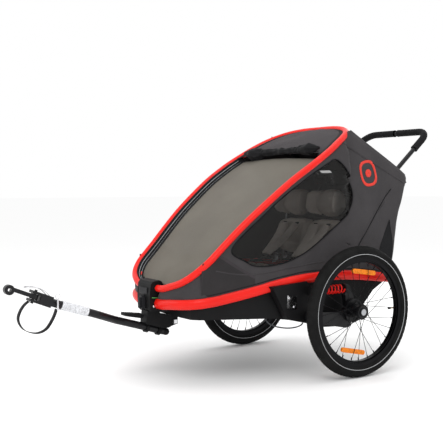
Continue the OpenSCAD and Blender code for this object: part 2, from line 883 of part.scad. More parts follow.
module handlebar_hubs() {
    color("#4a4a4e") placed() both_sides() difference() {
        cross_rod(hinge_y, hinge_z, hinge_d, hub_in - hub_w, hub_in);
        cross_rod(hinge_y, hinge_z, 10 + 2 * running_gap, hub_in - hub_w - 1, hub_in + 1);
    }
}

module hinge_button() {
    color("#8a8a8e") {
        cross_rod(hinge_y, hinge_z, button_d, hub_out - 4, hub_out + 5);
    }
}

module hinge_button_left() { placed() hinge_button(); }
module hinge_button_right() { placed() mirror([1, 0, 0]) hinge_button(); }

// ---- drawbar ----
module lock_knob() {
    color("darkgray") placed() translate([0, -720 - body_gap, 296]) rotate([90, 0, 0]) {
        linear_extrude(12) hull() {
            translate([0, 12]) circle(r = 15);
            translate([0, -12]) circle(r = 15);
        }
        translate([0, 0, 12]) linear_extrude(8) hull() {
            translate([0, 14]) circle(r = 6);
            translate([0, -14]) circle(r = 6);
        }
    }
}

module latch_lever() {
    color("#2c2c2e") placed() difference() {
        union() {
            hull() {
                cross_rod(-734, 248, 18, -12, 12);
                cross_rod(-800, 259, 12, -15, 15);
            }
            for (y = [-804 : 8 : -764])
                cross_rod(y, 265 - (y + 804) * 0.12, 3, -15, 15);
        }
        cross_rod(-734, 248, 6 + 2 * running_gap, -20, 20);
    }
}

module drawbar_tube() {
    path = smooth([for (i = [1 : len(bar_points) - 1]) bar_points[i]], 2);
    color("#242428") placed() {
        rod(bar_rear, bar_points[1] + bar_dir, bar_d);
        sweep(path, bend_d, bend_d, [0, 0, 1]);
    }
}

module drawbar_cap() {
    color("#18181a") placed() {
        translate(bar_rear - bar_dir * bar_d / 2) sphere(d = bar_d - 1);
        rod(bar_rear - bar_dir * bar_d / 2, bar_rear - bar_dir * 0.01, bar_d - 1);
    }
}

module reflective_sleeve() {
    color("whitesmoke") placed()
        sleeve([for (y = [-966 : -24 : -1062]) [bar_offset, y, line_z([
            [bar_points[8][1], bar_points[8][2]], [bar_points[7][1], bar_points[7][2]],
            [bar_points[6][1], bar_points[6][2]]
        ], y)]], bar_d + 5, bend_d + 0.8, [0, 0, 1]);
}

module coupler_block() {
    color("#1e1e20") placed() translate([bar_offset, block_rear, block_up]) rotate([-hitch_slope, 0, 0])
        difference() {
            union() {
                translate([-19, -44, -19]) cube([38, 44, 38]);
                translate([-19, -78, -19]) cube([38, 35, 9]);
                translate([-19, -78, 10]) cube([38, 35, 9]);
            }
            translate([0, -knuckle_reach, -30]) cylinder(d = 10 + 2 * running_gap, h = 60);
        }
}

// Swivelling end of the hitch: a knuckle, its vertical pin, a shank and the eye for the bicycle's axle
module coupling_eye() {
    shank = norm([eye_y - knuckle[1], eye_z - knuckle[2]]);
    color("#2a2a2c") placed() difference() {
        union() {
            translate(knuckle) rotate([-hitch_slope, 0, 0]) {
                translate([0, 0, -9.6]) cylinder(d = 28, h = 19.2);
                translate([0, 0, -24]) cylinder(d = 10, h = 48);
                translate([-9, -shank, -7]) cube([18, shank, 14]);
            }
            cross_rod(eye_y, eye_z, eye_d, bar_offset - 10, bar_offset + 10);
        }
        cross_rod(eye_y, eye_z, eye_bore, bar_offset - 20, bar_offset + 20);
    }
}

module safety_strap() {
    color("#1c1c1e") placed() sweep(smooth(strap_points, 2), strap_w, strap_t, [0, 0.01, 1], 8);
}

lower_frame();
front_connector();
drawbar_bracket();
clamp_bolt();
floor_tub();
seat_bars();
rail_caps();
suspension_brackets();
bracket_plates();
pivot_bolts();
back_hinges();
seat_cushion();
side_panel_left();
side_panel_right();
side_window_left();
side_window_right();
rear_panel();
brake_cable();
lock_knob();
hoop_tube();
hinge_pins();
roof_struts();
hinge_hubs();
roof_panel();
front_screen();
visor();
rolled_cover();
back_frame();
back_pads();
headrests();
harness();
harness_buckles();
handlebar_tube();
handlebar_hubs();
handlebar_grips();
hinge_button_left();
hinge_button_right();
swing_arm_left();
swing_arm_right();
spring_left();
spring_right();
tyre_left();
tyre_right();
rim_left();
rim_right();
hub_left();
hub_right();
spokes_left();
spokes_right();
reflectors_left();
reflectors_right();
axle_button_left();
axle_button_right();
drawbar_tube();
drawbar_cap();
reflective_sleeve();
coupler_block();
safety_strap();
coupling_eye();
latch_lever();
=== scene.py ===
"""Two-seat child trailer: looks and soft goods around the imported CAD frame.

Points are written in millimetres from the ground under the middle of the axle, as in the
part's source, and at() turns them into the frame's metres.
"""
import json
import math

import bpy
from mathutils import Matrix, Vector, noise


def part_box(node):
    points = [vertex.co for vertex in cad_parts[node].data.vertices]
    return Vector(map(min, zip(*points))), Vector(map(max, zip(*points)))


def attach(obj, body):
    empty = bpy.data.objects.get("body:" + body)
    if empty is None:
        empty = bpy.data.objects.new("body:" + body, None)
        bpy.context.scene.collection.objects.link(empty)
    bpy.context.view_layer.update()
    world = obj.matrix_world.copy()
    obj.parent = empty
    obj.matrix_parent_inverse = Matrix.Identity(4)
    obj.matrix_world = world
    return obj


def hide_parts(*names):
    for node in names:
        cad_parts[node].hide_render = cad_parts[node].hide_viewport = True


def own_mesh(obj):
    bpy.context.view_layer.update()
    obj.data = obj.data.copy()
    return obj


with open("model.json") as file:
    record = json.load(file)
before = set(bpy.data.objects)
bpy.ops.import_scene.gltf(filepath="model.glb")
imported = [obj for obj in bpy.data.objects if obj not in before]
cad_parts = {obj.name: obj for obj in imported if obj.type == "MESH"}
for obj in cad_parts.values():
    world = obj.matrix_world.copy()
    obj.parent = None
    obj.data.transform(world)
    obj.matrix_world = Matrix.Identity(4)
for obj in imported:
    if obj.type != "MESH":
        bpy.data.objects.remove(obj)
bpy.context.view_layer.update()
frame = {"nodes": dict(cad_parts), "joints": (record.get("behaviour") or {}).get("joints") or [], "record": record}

MM = 0.001
JOINT = {j["name"]: j for j in frame["joints"]}
AXLE_Y = JOINT["wheel_left_spin"]["pos_m"][1]
SIDES = (("left", 1), ("right", -1))


def at(x, y, z):
    return Vector((x * MM, y * MM + AXLE_Y, z * MM))


# ---------------------------------------------------------------- camera, light and floor
CAMERA_PLACE = (2.647, -2.095, 0.731)
CAMERA_AZIMUTH = math.radians(57.0)
CAMERA_PITCH = math.radians(2.62)
CAMERA_LENS = 65.58


def make_camera():
    data = bpy.data.cameras.new("camera")
    data.lens = CAMERA_LENS
    data.sensor_width = 36.0
    data.clip_end = 50.0
    cam = bpy.data.objects.new("camera", data)
    bpy.context.scene.collection.objects.link(cam)
    a, e = CAMERA_AZIMUTH, CAMERA_PITCH
    back = Vector((math.sin(a) * math.cos(e), -math.cos(a) * math.cos(e), math.sin(e)))
    right = Vector((math.cos(a), math.sin(a), 0.0))
    up = back.cross(right)
    turn = Matrix((right, up, back)).transposed().to_4x4()
    x, y, z = CAMERA_PLACE
    cam.matrix_world = Matrix.Translation((x, y + AXLE_Y, z)) @ turn
    bpy.context.scene.camera = cam


def make_light(name, place, target, size, power):
    data = bpy.data.lights.new(name, "AREA")
    data.shape = "RECTANGLE"
    data.size, data.size_y = size
    data.energy = power
    lamp = bpy.data.objects.new(name, data)
    bpy.context.scene.collection.objects.link(lamp)
    lamp.location = place
    lamp.rotation_euler = (Vector(target) - Vector(place)).to_track_quat("-Z", "Y").to_euler()


def make_studio():
    scene = bpy.context.scene
    scene.view_settings.view_transform = "Standard"
    world = bpy.data.worlds.new("studio")
    scene.world = world
    world.use_nodes = True
    world.node_tree.nodes["Background"].inputs["Color"].default_value = (1, 1, 1, 1)
    world.node_tree.nodes["Background"].inputs["Strength"].default_value = 1.0
    make_light("key", (2.2, -1.6, 3.0), (0, 0, 0.5), (2.2, 1.6), 34)
    make_light("front", (-1.6, -3.0, 1.8), (0, -0.2, 0.5), (1.8, 1.8), 14)
    make_light("top", (0.2, 0.4, 3.4), (0, 0, 0.4), (2.5, 2.5), 26)
    make_light("back", (-1.2, 2.8, 2.0), (0, 0.3, 0.5), (2.0, 1.5), 14)
    reach = 40.0
    rows = [[Vector((x, y, 0)) for y in (-reach, reach)] for x in (-reach, reach)]
    floor = grid_piece("floor", rows, material("floor_white", (0.97, 0.97, 0.97), 0.95, specular=0.0))


# ---------------------------------------------------------------- materials
COAT_ROUGHNESS = 0.08
SHEEN_ROUGHNESS = 0.45
PLASTIC_INDEX = 1.5


def material(name, colour, roughness, metallic=0.0, alpha=1.0, coat=0.0, sheen=0.0, specular=0.3):
    mat = bpy.data.materials.new(name)
    mat.use_nodes = True
    shader = mat.node_tree.nodes["Principled BSDF"]
    shader.inputs["Base Color"].default_value = (*colour, 1)
    shader.inputs["Roughness"].default_value = roughness
    shader.inputs["Metallic"].default_value = metallic
    shader.inputs["Alpha"].default_value = alpha
    shader.inputs["Coat Weight"].default_value = coat
    shader.inputs["Coat Roughness"].default_value = COAT_ROUGHNESS
    shader.inputs["Sheen Weight"].default_value = sheen
    shader.inputs["Sheen Roughness"].default_value = SHEEN_ROUGHNESS
    shader.inputs["IOR"].default_value = PLASTIC_INDEX
    shader.inputs["Specular IOR Level"].default_value = specular
    mat.diffuse_color = (*colour, alpha)
    return mat


class Nodes:
    """Short names for the nodes that the materials are made of."""

    def __init__(self, mat):
        self.tree = mat.node_tree
        self.shader = self.tree.nodes["Principled BSDF"]
        coords = self.tree.nodes.new("ShaderNodeTexCoord")
        self.place = coords.outputs["Object"]

    def noise(self, scale, detail=3.0):
        node = self.tree.nodes.new("ShaderNodeTexNoise")
        node.inputs["Scale"].default_value = scale
        node.inputs["Detail"].default_value = detail
        self.tree.links.new(self.place, node.inputs["Vector"])
        return node.outputs["Fac"]

    def wave(self, scale, direction, distortion=0.0):
        node = self.tree.nodes.new("ShaderNodeTexWave")
        node.bands_direction = direction
        node.inputs["Scale"].default_value = scale
        node.inputs["Distortion"].default_value = distortion
        self.tree.links.new(self.place, node.inputs["Vector"])
        return node.outputs["Fac"]

    def cells(self, scale):
        node = self.tree.nodes.new("ShaderNodeTexVoronoi")
        node.inputs["Scale"].default_value = scale
        self.tree.links.new(self.place, node.inputs["Vector"])
        return node.outputs["Distance"]

    def math(self, kind, a, b):
        node = self.tree.nodes.new("ShaderNodeMath")
        node.operation = kind
        for socket, value in zip(node.inputs, (a, b)):
            if isinstance(value, (int, float)):
                socket.default_value = value
            else:
                self.tree.links.new(value, socket)
        return node.outputs[0]

    def ramp(self, source, low, high, start=0.3, end=0.7):
        node = self.tree.nodes.new("ShaderNodeValToRGB")
        node.color_ramp.elements[0].position = start
        node.color_ramp.elements[1].position = end
        node.color_ramp.elements[0].color = (*low, 1)
        node.color_ramp.elements[1].color = (*high, 1)
        self.tree.links.new(source, node.inputs["Fac"])
        return node.outputs["Color"]

    def colour(self, source, low, high, start=0.3, end=0.7):
        self.tree.links.new(self.ramp(source, low, high, start, end), self.shader.inputs["Base Color"])

    def rough(self, source, low, high):
        node = self.tree.nodes.new("ShaderNodeMapRange")
        node.inputs["To Min"].default_value = low
        node.inputs["To Max"].default_value = high
        self.tree.links.new(source, node.inputs["Value"])
        self.tree.links.new(node.outputs["Result"], self.shader.inputs["Roughness"])

    def bump(self, source, strength, depth=0.001):
        node = self.tree.nodes.new("ShaderNodeBump")
        node.inputs["Strength"].default_value = strength
        node.inputs["Distance"].default_value = depth
        previous = self.shader.inputs["Normal"]
        if previous.is_linked:
            self.tree.links.new(previous.links[0].from_socket, node.inputs["Normal"])
        self.tree.links.new(source, node.inputs["Height"])
        self.tree.links.new(node.outputs["Normal"], previous)


def shade(colour, factor):
    return tuple(min(c * factor, 1.0) for c in colour)


def cloth(name, colour, thread=520.0, sheen=0.05, roughness=0.82, spread=0.14):
    """Woven cloth: crossing threads, fine fuzz and slow changes of shade."""
    mat = material(name, colour, roughness, sheen=sheen, specular=0.15)
    n = Nodes(mat)
    n.colour(n.noise(9.0, 5.0), shade(colour, 1 - spread), shade(colour, 1 + spread))
    weave = 0.4
    across = n.math("MAXIMUM", n.wave(thread, "Z", weave), n.wave(thread, "X", weave))
    threads = n.math("MAXIMUM", n.wave(thread, "Y", weave), across)
    n.bump(threads, 0.35, 0.0004)
    n.bump(n.noise(38.0, 4.0), 0.18, 0.004)
    n.rough(n.noise(60.0, 2.0), roughness - 0.08, roughness + 0.08)
    return mat


def mesh_cloth(name, colour, alpha):
    """Screen mesh: a regular net of holes over see-through cloth."""
    mat = material(name, colour, 0.65, alpha=alpha, sheen=0.04, specular=0.15)
    n = Nodes(mat)
    n.colour(n.noise(5.0, 4.0), shade(colour, 0.88), shade(colour, 1.1))
    cell = 420.0
    net = n.math("MULTIPLY", n.wave(cell, "X"), n.wave(cell, "Z"))
    n.bump(net, 0.4, 0.0004)
    return mat


def moulded(name, colour, roughness=0.5):
    """Moulded plastic with a fine spark-eroded grain."""
    mat = material(name, colour, roughness, specular=0.12)
    n = Nodes(mat)
    n.colour(n.noise(14.0, 3.0), shade(colour, 0.86), shade(colour, 1.16))
    n.bump(n.noise(700.0, 2.0), 0.25, 0.0004)
    n.rough(n.noise(30.0, 4.0), roughness - 0.08, roughness + 0.1)
    return mat


def painted(name, colour, roughness=0.3, coat=0.2):
    """Powder coat: slight orange peel under a clear gloss."""
    mat = material(name, colour, roughness, coat=coat, specular=0.2)
    n = Nodes(mat)
    n.colour(n.noise(6.0, 3.0), shade(colour, 0.93), shade(colour, 1.06))
    n.bump(n.noise(420.0, 1.0), 0.08, 0.0003)
    n.rough(n.noise(24.0, 4.0), roughness - 0.05, roughness + 0.1)
    return mat


def metal(name, colour, roughness, strength=0.12):
    """Bare metal with drawing lines and patches of slightly different polish."""
    mat = material(name, colour, roughness, metallic=1.0)
    n = Nodes(mat)
    n.colour(n.noise(20.0, 3.0), shade(colour, 0.9), shade(colour, 1.05))
    n.bump(n.wave(900.0, "X", 2.0), strength, 0.0002)
    n.rough(n.noise(45.0, 4.0), max(roughness - 0.08, 0.03), roughness + 0.12)
    return mat


def rubber(name, colour, roughness=0.75):
    mat = material(name, colour, roughness, specular=0.06)
    n = Nodes(mat)
    n.colour(n.noise(22.0, 4.0), shade(colour, 0.8), shade(colour, 1.35))
    n.bump(n.noise(260.0, 3.0), 0.22, 0.0006)
    n.rough(n.noise(40.0, 3.0), roughness - 0.1, roughness + 0.1)
    return mat


def prism(name, colour):
    """Reflector plastic: small prism cells under a smooth face."""
    mat = material(name, colour, 0.3, coat=0.15, specular=0.15)
    n = Nodes(mat)
    cell = n.cells(260.0)
    n.colour(cell, shade(colour, 1.12), shade(colour, 0.6), 0.1, 0.75)
    n.bump(cell, 0.5, 0.0006)
    return mat


def film(name, colour, alpha):
    mat = material(name, colour, 0.2, alpha=alpha, specular=0.2)
    n = Nodes(mat)
    n.bump(n.noise(7.0, 3.0), 0.3, 0.004)
    return mat


def foam(name, colour):
    mat = material(name, colour, 0.88, specular=0.15)
    n = Nodes(mat)
    n.colour(n.noise(60.0, 4.0), shade(colour, 0.75), shade(colour, 1.3))
    n.bump(n.cells(620.0), 0.5, 0.0008)
    return mat


SLOTS = {
    "frame_red": painted("frame_red", (0.72, 0.010, 0.005), 0.34, 0.08),
    "black_plastic": moulded("black_plastic", (0.006, 0.006, 0.0065), 0.5),
    "grey_plastic": moulded("grey_plastic", (0.02, 0.02, 0.022), 0.45),
    "knob_grey": moulded("knob_grey", (0.016, 0.016, 0.018), 0.38),
    "bright_steel": metal("bright_steel", (0.68, 0.68, 0.7), 0.25),
    "chrome_plate": metal("chrome_plate", (0.82, 0.82, 0.84), 0.08, strength=0.03),
    "aluminium": metal("aluminium", (0.42, 0.43, 0.45), 0.35),
    "rim_black": metal("rim_black", (0.014, 0.014, 0.015), 0.4, strength=0.05),
    "black_metal": painted("black_metal", (0.006, 0.006, 0.007), 0.34, 0.12),
    "side_fabric": cloth("side_fabric", (0.043, 0.040, 0.042)),
    "screen_fabric": mesh_cloth("screen_fabric", (0.150, 0.137, 0.114), 0.84),
    "visor_fabric": cloth("visor_fabric", (0.040, 0.035, 0.038)),
    "seat_fabric": cloth("seat_fabric", (0.74, 0.67, 0.61), 460.0, 0.1),
    "webbing": cloth("webbing", (0.006, 0.006, 0.007), 700.0, 0.03, 0.7),
    "window_film": film("window_film", (0.014, 0.0135, 0.013), 0.60),
    "foam_grip": foam("foam_grip", (0.009, 0.009, 0.01)),
    "tyre_rubber": rubber("tyre_rubber", (0.009, 0.009, 0.009)),
    "amber_reflector": prism("amber_reflector", (0.92, 0.24, 0.006)),
    "red_reflector": prism("red_reflector", (0.62, 0.1, 0.09)),
    "reflective_white": prism("reflective_white", (0.8, 0.81, 0.84)),
    "cable_black": rubber("cable_black", (0.05, 0.052, 0.056), 0.45),
}
PIPING = moulded("piping_black", (0.004, 0.004, 0.005), 0.4)
THREAD = cloth("sewing_thread", (0.05, 0.048, 0.052), 900.0, 0.05, spread=0.05)
REFLECTIVE_GREY = material("reflective_grey", (0.42, 0.43, 0.44), 0.35)
SILVER_PIPING = moulded("silver_piping", (0.30, 0.31, 0.32), 0.35)
DARK_CLOTH = cloth("dark_cloth", (0.009, 0.009, 0.01), 520.0, 0.03)
VENT_CLOTH = cloth("vent_cloth", (0.026, 0.024, 0.025), 620.0)
RED_CLOTH = cloth("red_cloth", (0.62, 0.03, 0.02), 700.0, 0.15)
RED_INK = material("red_ink", (0.66, 0.035, 0.02), 0.5)
GREEN_LINE = material("green_line", (0.12, 0.42, 0.1), 0.5)
BRASS = metal("valve_brass", (0.62, 0.5, 0.3), 0.3)


def dress_cad():
    """Gives every carried-over CAD node the finish of its slot."""
    record = frame["record"]
    slots = {s["node"]: s["material_slot"] for s in record["subparts"]}
    for name, obj in frame["nodes"].items():
        obj.data.materials.clear()
        obj.data.materials.append(SLOTS[slots[name]])


# ---------------------------------------------------------------- mesh making
def new_object(name, mesh):
    obj = bpy.data.objects.new(name, mesh)
    bpy.context.scene.collection.objects.link(obj)
    return obj


def mesh_piece(name, points, faces, mat):
    mesh = bpy.data.meshes.new(name)
    mesh.from_pydata([tuple(p) for p in points], [], faces)
    mesh.validate()
    mesh.update()
    mesh.materials.append(mat)
    mesh.shade_smooth()
    return new_object(name, mesh)


def grid_faces(n, m, around=False):
    """Faces of n rows of m points; around joins the last point of a row to its first."""
    faces = []
    for i in range(n - 1):
        for j in range(m if around else m - 1):
            a, b = i * m + j, i * m + (j + 1) % m
            faces.append((a, b, b + m, a + m))
    return faces


def grid_piece(name, rows, mat, around=False):
    points = [p for row in rows for p in row]
    return mesh_piece(name, points, grid_faces(len(rows), len(rows[0]), around), mat)


def thicken(obj, depth):
    """Gives a sheet its thickness in mm, half of it on each side."""
    solid = obj.modifiers.new("thickness", "SOLIDIFY")
    solid.thickness = depth * MM
    solid.offset = 0.0
    apply_all(obj)
    return obj


def apply_all(obj):
    bpy.context.view_layer.update()
    graph = bpy.context.evaluated_depsgraph_get()
    mesh = bpy.data.meshes.new_from_object(obj.evaluated_get(graph))
    obj.modifiers.clear()
    old = obj.data
    obj.data = mesh
    bpy.data.meshes.remove(old)
    return obj


def join(name, objs):
    """One object from several, each part keeping its material."""
    mats, points, faces, slots, smooth = [], [], [], [], []
    for o in objs:
        start = len(points)
        points += [o.matrix_world @ v.co for v in o.data.vertices]
        for m in o.data.materials:
            if m not in mats:
                mats.append(m)
        for p in o.data.polygons:
            faces.append([start + i for i in p.vertices])
            slots.append(mats.index(o.data.materials[p.material_index]))
            smooth.append(p.use_smooth)
        old = o.data
        bpy.data.objects.remove(o)
        if old.users == 0:
            bpy.data.meshes.remove(old)
    mesh = bpy.data.meshes.new(name)
    mesh.from_pydata([tuple(p) for p in points], [], faces)
    for m in mats:
        mesh.materials.append(m)
    mesh.polygons.foreach_set("material_index", slots)
    mesh.polygons.foreach_set("use_smooth", smooth)
    mesh.update()
    return new_object(name, mesh)


def curve_points(points, steps):
    """A smooth line through the points, as the part's source draws it."""
    points = [Vector(p) for p in points]
    line = []
    for i in range(len(points) - 1):
        a, b = points[max(i - 1, 0)], points[i]
        c, d = points[i + 1], points[min(i + 2, len(points) - 1)]
        for s in range(steps):
            t = s / steps
            line.append(0.5 * (2 * b + (c - a) * t + (2 * a - 5 * b + 4 * c - d) * t * t
                               + (3 * b - a - 3 * c + d) * t ** 3))
    return line + [points[-1]]


def side_curve(points, steps):
    """A smooth line through points given as (y, z) or any other two values."""
    return [(p.x, p.y) for p in curve_points([(a, b, 0) for a, b in points], steps)]


def turns_of(count):
    """Angles at equal steps round a circle."""
    return [math.tau * k / count for k in range(count)]


def spaced(points, step, closed=False):
    """Points at equal steps along a line."""
    line = [Vector(p) for p in points]
    if closed:
        line.append(line[0])
    total = sum((b - a).length for a, b in zip(line, line[1:]))
    count = max(int(round(total / step)), 2)
    out, i, done = [], 0, 0.0
    for k in range(count if closed else count + 1):
        goal = total * k / count
        while i < len(line) - 2 and done + (line[i + 1] - line[i]).length < goal:
            done += (line[i + 1] - line[i]).length
            i += 1
        reach = (line[i + 1] - line[i]).length
        share = min((goal - done) / reach, 1.0) if reach > 0 else 0.0
        out.append(line[i].lerp(line[i + 1], share))
    return out


def tube(name, path, radius, mat, sides=10, closed=False, flat=None, up=None, shape=None):
    """A bar along a path in metres. flat=(width, height) gives an oval section with its height along up."""
    n = len(path)
    rows = []
    carried = None
    for i, p in enumerate(path):
        if closed:
            run = (path[(i + 1) % n] - path[i - 1]).normalized()
        else:
            run = (path[min(i + 1, n - 1)] - path[max(i - 1, 0)]).normalized()
        if up is not None:
            rise = up[i] if isinstance(up, list) else up
            side = run.cross(rise).normalized()
            carried = side
        elif carried is None:
            side = run.orthogonal().normalized()
            carried = side
        else:
            side = (carried - run * carried.dot(run)).normalized()
            carried = side
        lift = side.cross(run)
        w, h = (radius, radius) if flat is None else (flat[0] / 2, flat[1] / 2)
        grow = shape(i / max(n - 1, 1)) if shape else 1.0
        rows.append([p + side * w * grow * MM * math.cos(math.tau * k / sides)
                     + lift * h * grow * MM * math.sin(math.tau * k / sides) for k in range(sides)])
    points = [q for row in rows for q in row]
    faces = grid_faces(n, sides, True)
    if closed:
        last = (n - 1) * sides
        faces += [(last + j, last + (j + 1) % sides, (j + 1) % sides, j) for j in range(sides)]
    else:
        faces.append(list(range(sides))[::-1])
        faces.append([(n - 1) * sides + j for j in range(sides)])
    return mesh_piece(name, points, faces, mat)


def finish_piece(obj, body, replaces=()):
    if replaces:
        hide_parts(*replaces)
    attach(obj, body)
    return obj


# ---------------------------------------------------------------- shared lines of the body
HOOP = [
    (56.2, -690, 352), (72, -690, 352.5), (97, -688, 355), (130, -681, 364), (174, -665, 379),
    (207, -643, 401), (228, -615, 428), (239, -580, 459), (245, -542, 496), (260, -466, 571),
    (276, -389, 640), (293, -266, 738), (300, -178, 796), (298, -128, 827), (290, -72, 860),
    (276, -25, 888), (257, 22, 914), (225, 66, 936), (170, 96, 952), (90, 112, 960), (0, 117, 961),
]
RAIL = [
    (228, -615, 309), (239, -580, 313), (245, -542, 318), (260, -466, 332), (276, -389, 348),
    (290, -308, 366), (298, -200, 380), (300, -60, 384), (300, 76, 376), (300, 228, 358),
]
WINDOW = [
    (-444, 455), (-496, 498), (-400, 594), (-288, 688), (-171, 766), (-90, 812), (-49, 826),
    (2, 787), (38, 735), (49, 690), (39, 648), (4, 606), (-72, 550), (-169, 488), (-231, 460),
    (-287, 442), (-356, 433), (-410, 437),
]
REAR_EDGE = [(345, 718), (324, 663), (302, 620), (286, 577), (270, 504), (256, 440), (236, 384)]
HINGE = (335, 757)
HOOP_R = 12.5
RAIL_HALF = 18.5
SHOULDER_X = 257


def value_at(table, key, i, j):
    """Value j of a list of points, at a place along value i."""
    if key <= table[0][i]:
        return table[0][j]
    for a, b in zip(table, table[1:]):
        if key <= b[i]:
            return a[j] + (b[j] - a[j]) * (key - a[i]) / (b[i] - a[i])
    return table[-1][j]


SIDE_HOOP = HOOP[7:17]


def top_z(y):
    """Height of the body's top line above a place along Y."""
    if y <= 22:
        return value_at(SIDE_HOOP, y, 1, 2)
    return 914 + (945 - 914) * (y - 22) / 38 if y < 60 else 945 - (y - 60) * 0.554


def wall_x(y, z):
    """How far out the side fabric is at a place in the side view."""
    foot_x = value_at(RAIL, y, 1, 0)
    foot_z = value_at(RAIL, y, 1, 2) + RAIL_HALF
    head_x = value_at(SIDE_HOOP, z, 2, 0) if y <= 22 and z < 914 else SHOULDER_X
    if y > 22 and z > 700:
        head_x = SHOULDER_X
    f = min(max((z - foot_z) / max(top_z(y) - foot_z, 1), 0), 1)
    return foot_x + (head_x - foot_x) * f + 16 * f * (1 - f)


def ripple(y, z, seed):
    return noise.noise(Vector((y * 0.011, z * 0.011, seed)))


def on_wall(side, y, z, lift=0.0):
    """Place on the side fabric, with its slack ripples."""
    slack = 2.6 * ripple(y, z, 3.1 * side) + 1.0 * ripple(2.6 * y, 2.6 * z, 8.0)
    return at(side * (wall_x(y, z) + slack + lift), y, z)


make_camera()

# ---------------------------------------------------------------- safety strap
STRAP = [
    (50, -1176, 342), (50, -1192, 330), (50, -1207, 308), (50, -1213, 282), (50, -1200, 254),
    (50, -1176, 238), (50, -1145, 232), (50, -1117, 242), (50, -1099, 264), (50, -1086, 288),
    (50, -1079, 308),
]
STRAP_WIDTH = 25
STRAP_THICK = 2.2


def make_strap():
    path = spaced([at(*p) for p in curve_points(STRAP, 8)], 0.008)
    rows = []
    for i, p in enumerate(path):
        run = (path[min(i + 1, len(path) - 1)] - path[max(i - 1, 0)]).normalized()
        side = Vector((1, 0, 0))
        lift = side.cross(run).normalized()
        w, h = STRAP_WIDTH / 2 * MM, STRAP_THICK / 2 * MM
        section = [(-1, -0.3), (-0.94, -1), (0.94, -1), (1, -0.3),
                   (1, 0.3), (0.94, 1), (-0.94, 1), (-1, 0.3)]
        rows.append([p + side * w * a + lift * h * b for a, b in section])
    points = [q for row in rows for q in row]
    m = len(rows[0])
    faces = grid_faces(len(rows), m, True)
    faces += [list(range(m))[::-1], [(len(rows) - 1) * m + j for j in range(m)]]
    strap = mesh_piece("safety_strap_webbing", points, faces, SLOTS["webbing"])
    finish_piece(strap, "drawbar", ["safety_strap"])
    stitches = []
    for k in (2, 3, 4, len(path) - 5, len(path) - 4, len(path) - 3):
        p = path[k]
        run = (path[k + 1] - path[k - 1]).normalized()
        lift = Vector((1, 0, 0)).cross(run).normalized()
        for s in (-1, 1):
            line = [p + Vector((x * MM, 0, 0)) + lift * s * 1.25 * MM for x in (-9, 0, 9)]
            stitches.append(tube("stitch", line, 0.5, THREAD, 6))
    sewn = join("strap_stitching", stitches)
    finish_piece(sewn, "drawbar")


make_strap()
make_studio()
dress_cad()


# ---------------------------------------------------------------- wheels
TYRE_R = 250
TYRE_HALF = 23.5
STRIPE_R = 219


def wheel_centre(side):
    low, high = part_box("rim_left" if side > 0 else "rim_right")
    return (Vector(low) + Vector(high)) / 2


def tread(turn, across):
    """Depth of the tread in mm: three rows of blocks with grooves between them."""
    groove = 0.0
    for edge in (0.28, 0.62):
        groove = max(groove, 1 - abs(abs(across) - edge) / 0.07)
    pitch = turn * 56 / math.tau + (0.5 if abs(across) > 0.45 else 0.0) + abs(across) * 0.6
    cut = abs(pitch % 1.0 - 0.5)
    if cut > 0.40 and abs(across) < 0.9:
        groove = max(groove, 1.0)
    return 1.9 * min(max(groove, 0.0), 1.0) if abs(across) < 0.95 else 0.0


def make_tyre(name, side):
    c = wheel_centre(side)
    steps, profile = 336, 46
    rows = []
    for i in range(steps):
        turn = math.tau * i / steps
        radial = Vector((0, math.cos(turn), math.sin(turn)))
        row = []
        for j in range(profile):
            a = math.radians(-144 + 288 * j / (profile - 1))
            across = a / math.radians(62)
            r = TYRE_HALF - (tread(turn, across) if abs(across) < 1 else 0.0)
            reach = TYRE_R - TYRE_HALF + r * math.cos(a)
            row.append(c + Vector((r * math.sin(a) * MM, 0, 0)) + radial * reach * MM)
        rows.append(row)
    rows.append(rows[0])
    points = [p for row in rows[:-1] for p in row]
    m = profile
    faces = []
    for i in range(steps):
        k = (i + 1) % steps
        for j in range(m - 1):
            faces.append((i * m + j, i * m + j + 1, k * m + j + 1, k * m + j))
    tyre = mesh_piece(f"tyre_tread_{name}", points, faces, SLOTS["tyre_rubber"])
    finish_piece(tyre, f"wheel_{name}", [f"tyre_{name}"])
    stripes = []
    for s in (-1, 1):
        for r, depth, mat in ((STRIPE_R, 1.1, REFLECTIVE_GREY), (STRIPE_R + 12, 0.5, SLOTS["tyre_rubber"])):
            offset = math.sqrt(max(TYRE_HALF ** 2 - (r - TYRE_R + TYRE_HALF) ** 2, 0))
            path = [c + Vector((s * (offset + 0.1) * MM, r * MM * math.cos(t), r * MM * math.sin(t)))
                    for t in turns_of(180)]
            stripes.append(tube("ring", path, depth, mat, 6, closed=True))
    rings = join(f"tyre_stripes_{name}", stripes)
    finish_piece(rings, f"wheel_{name}")


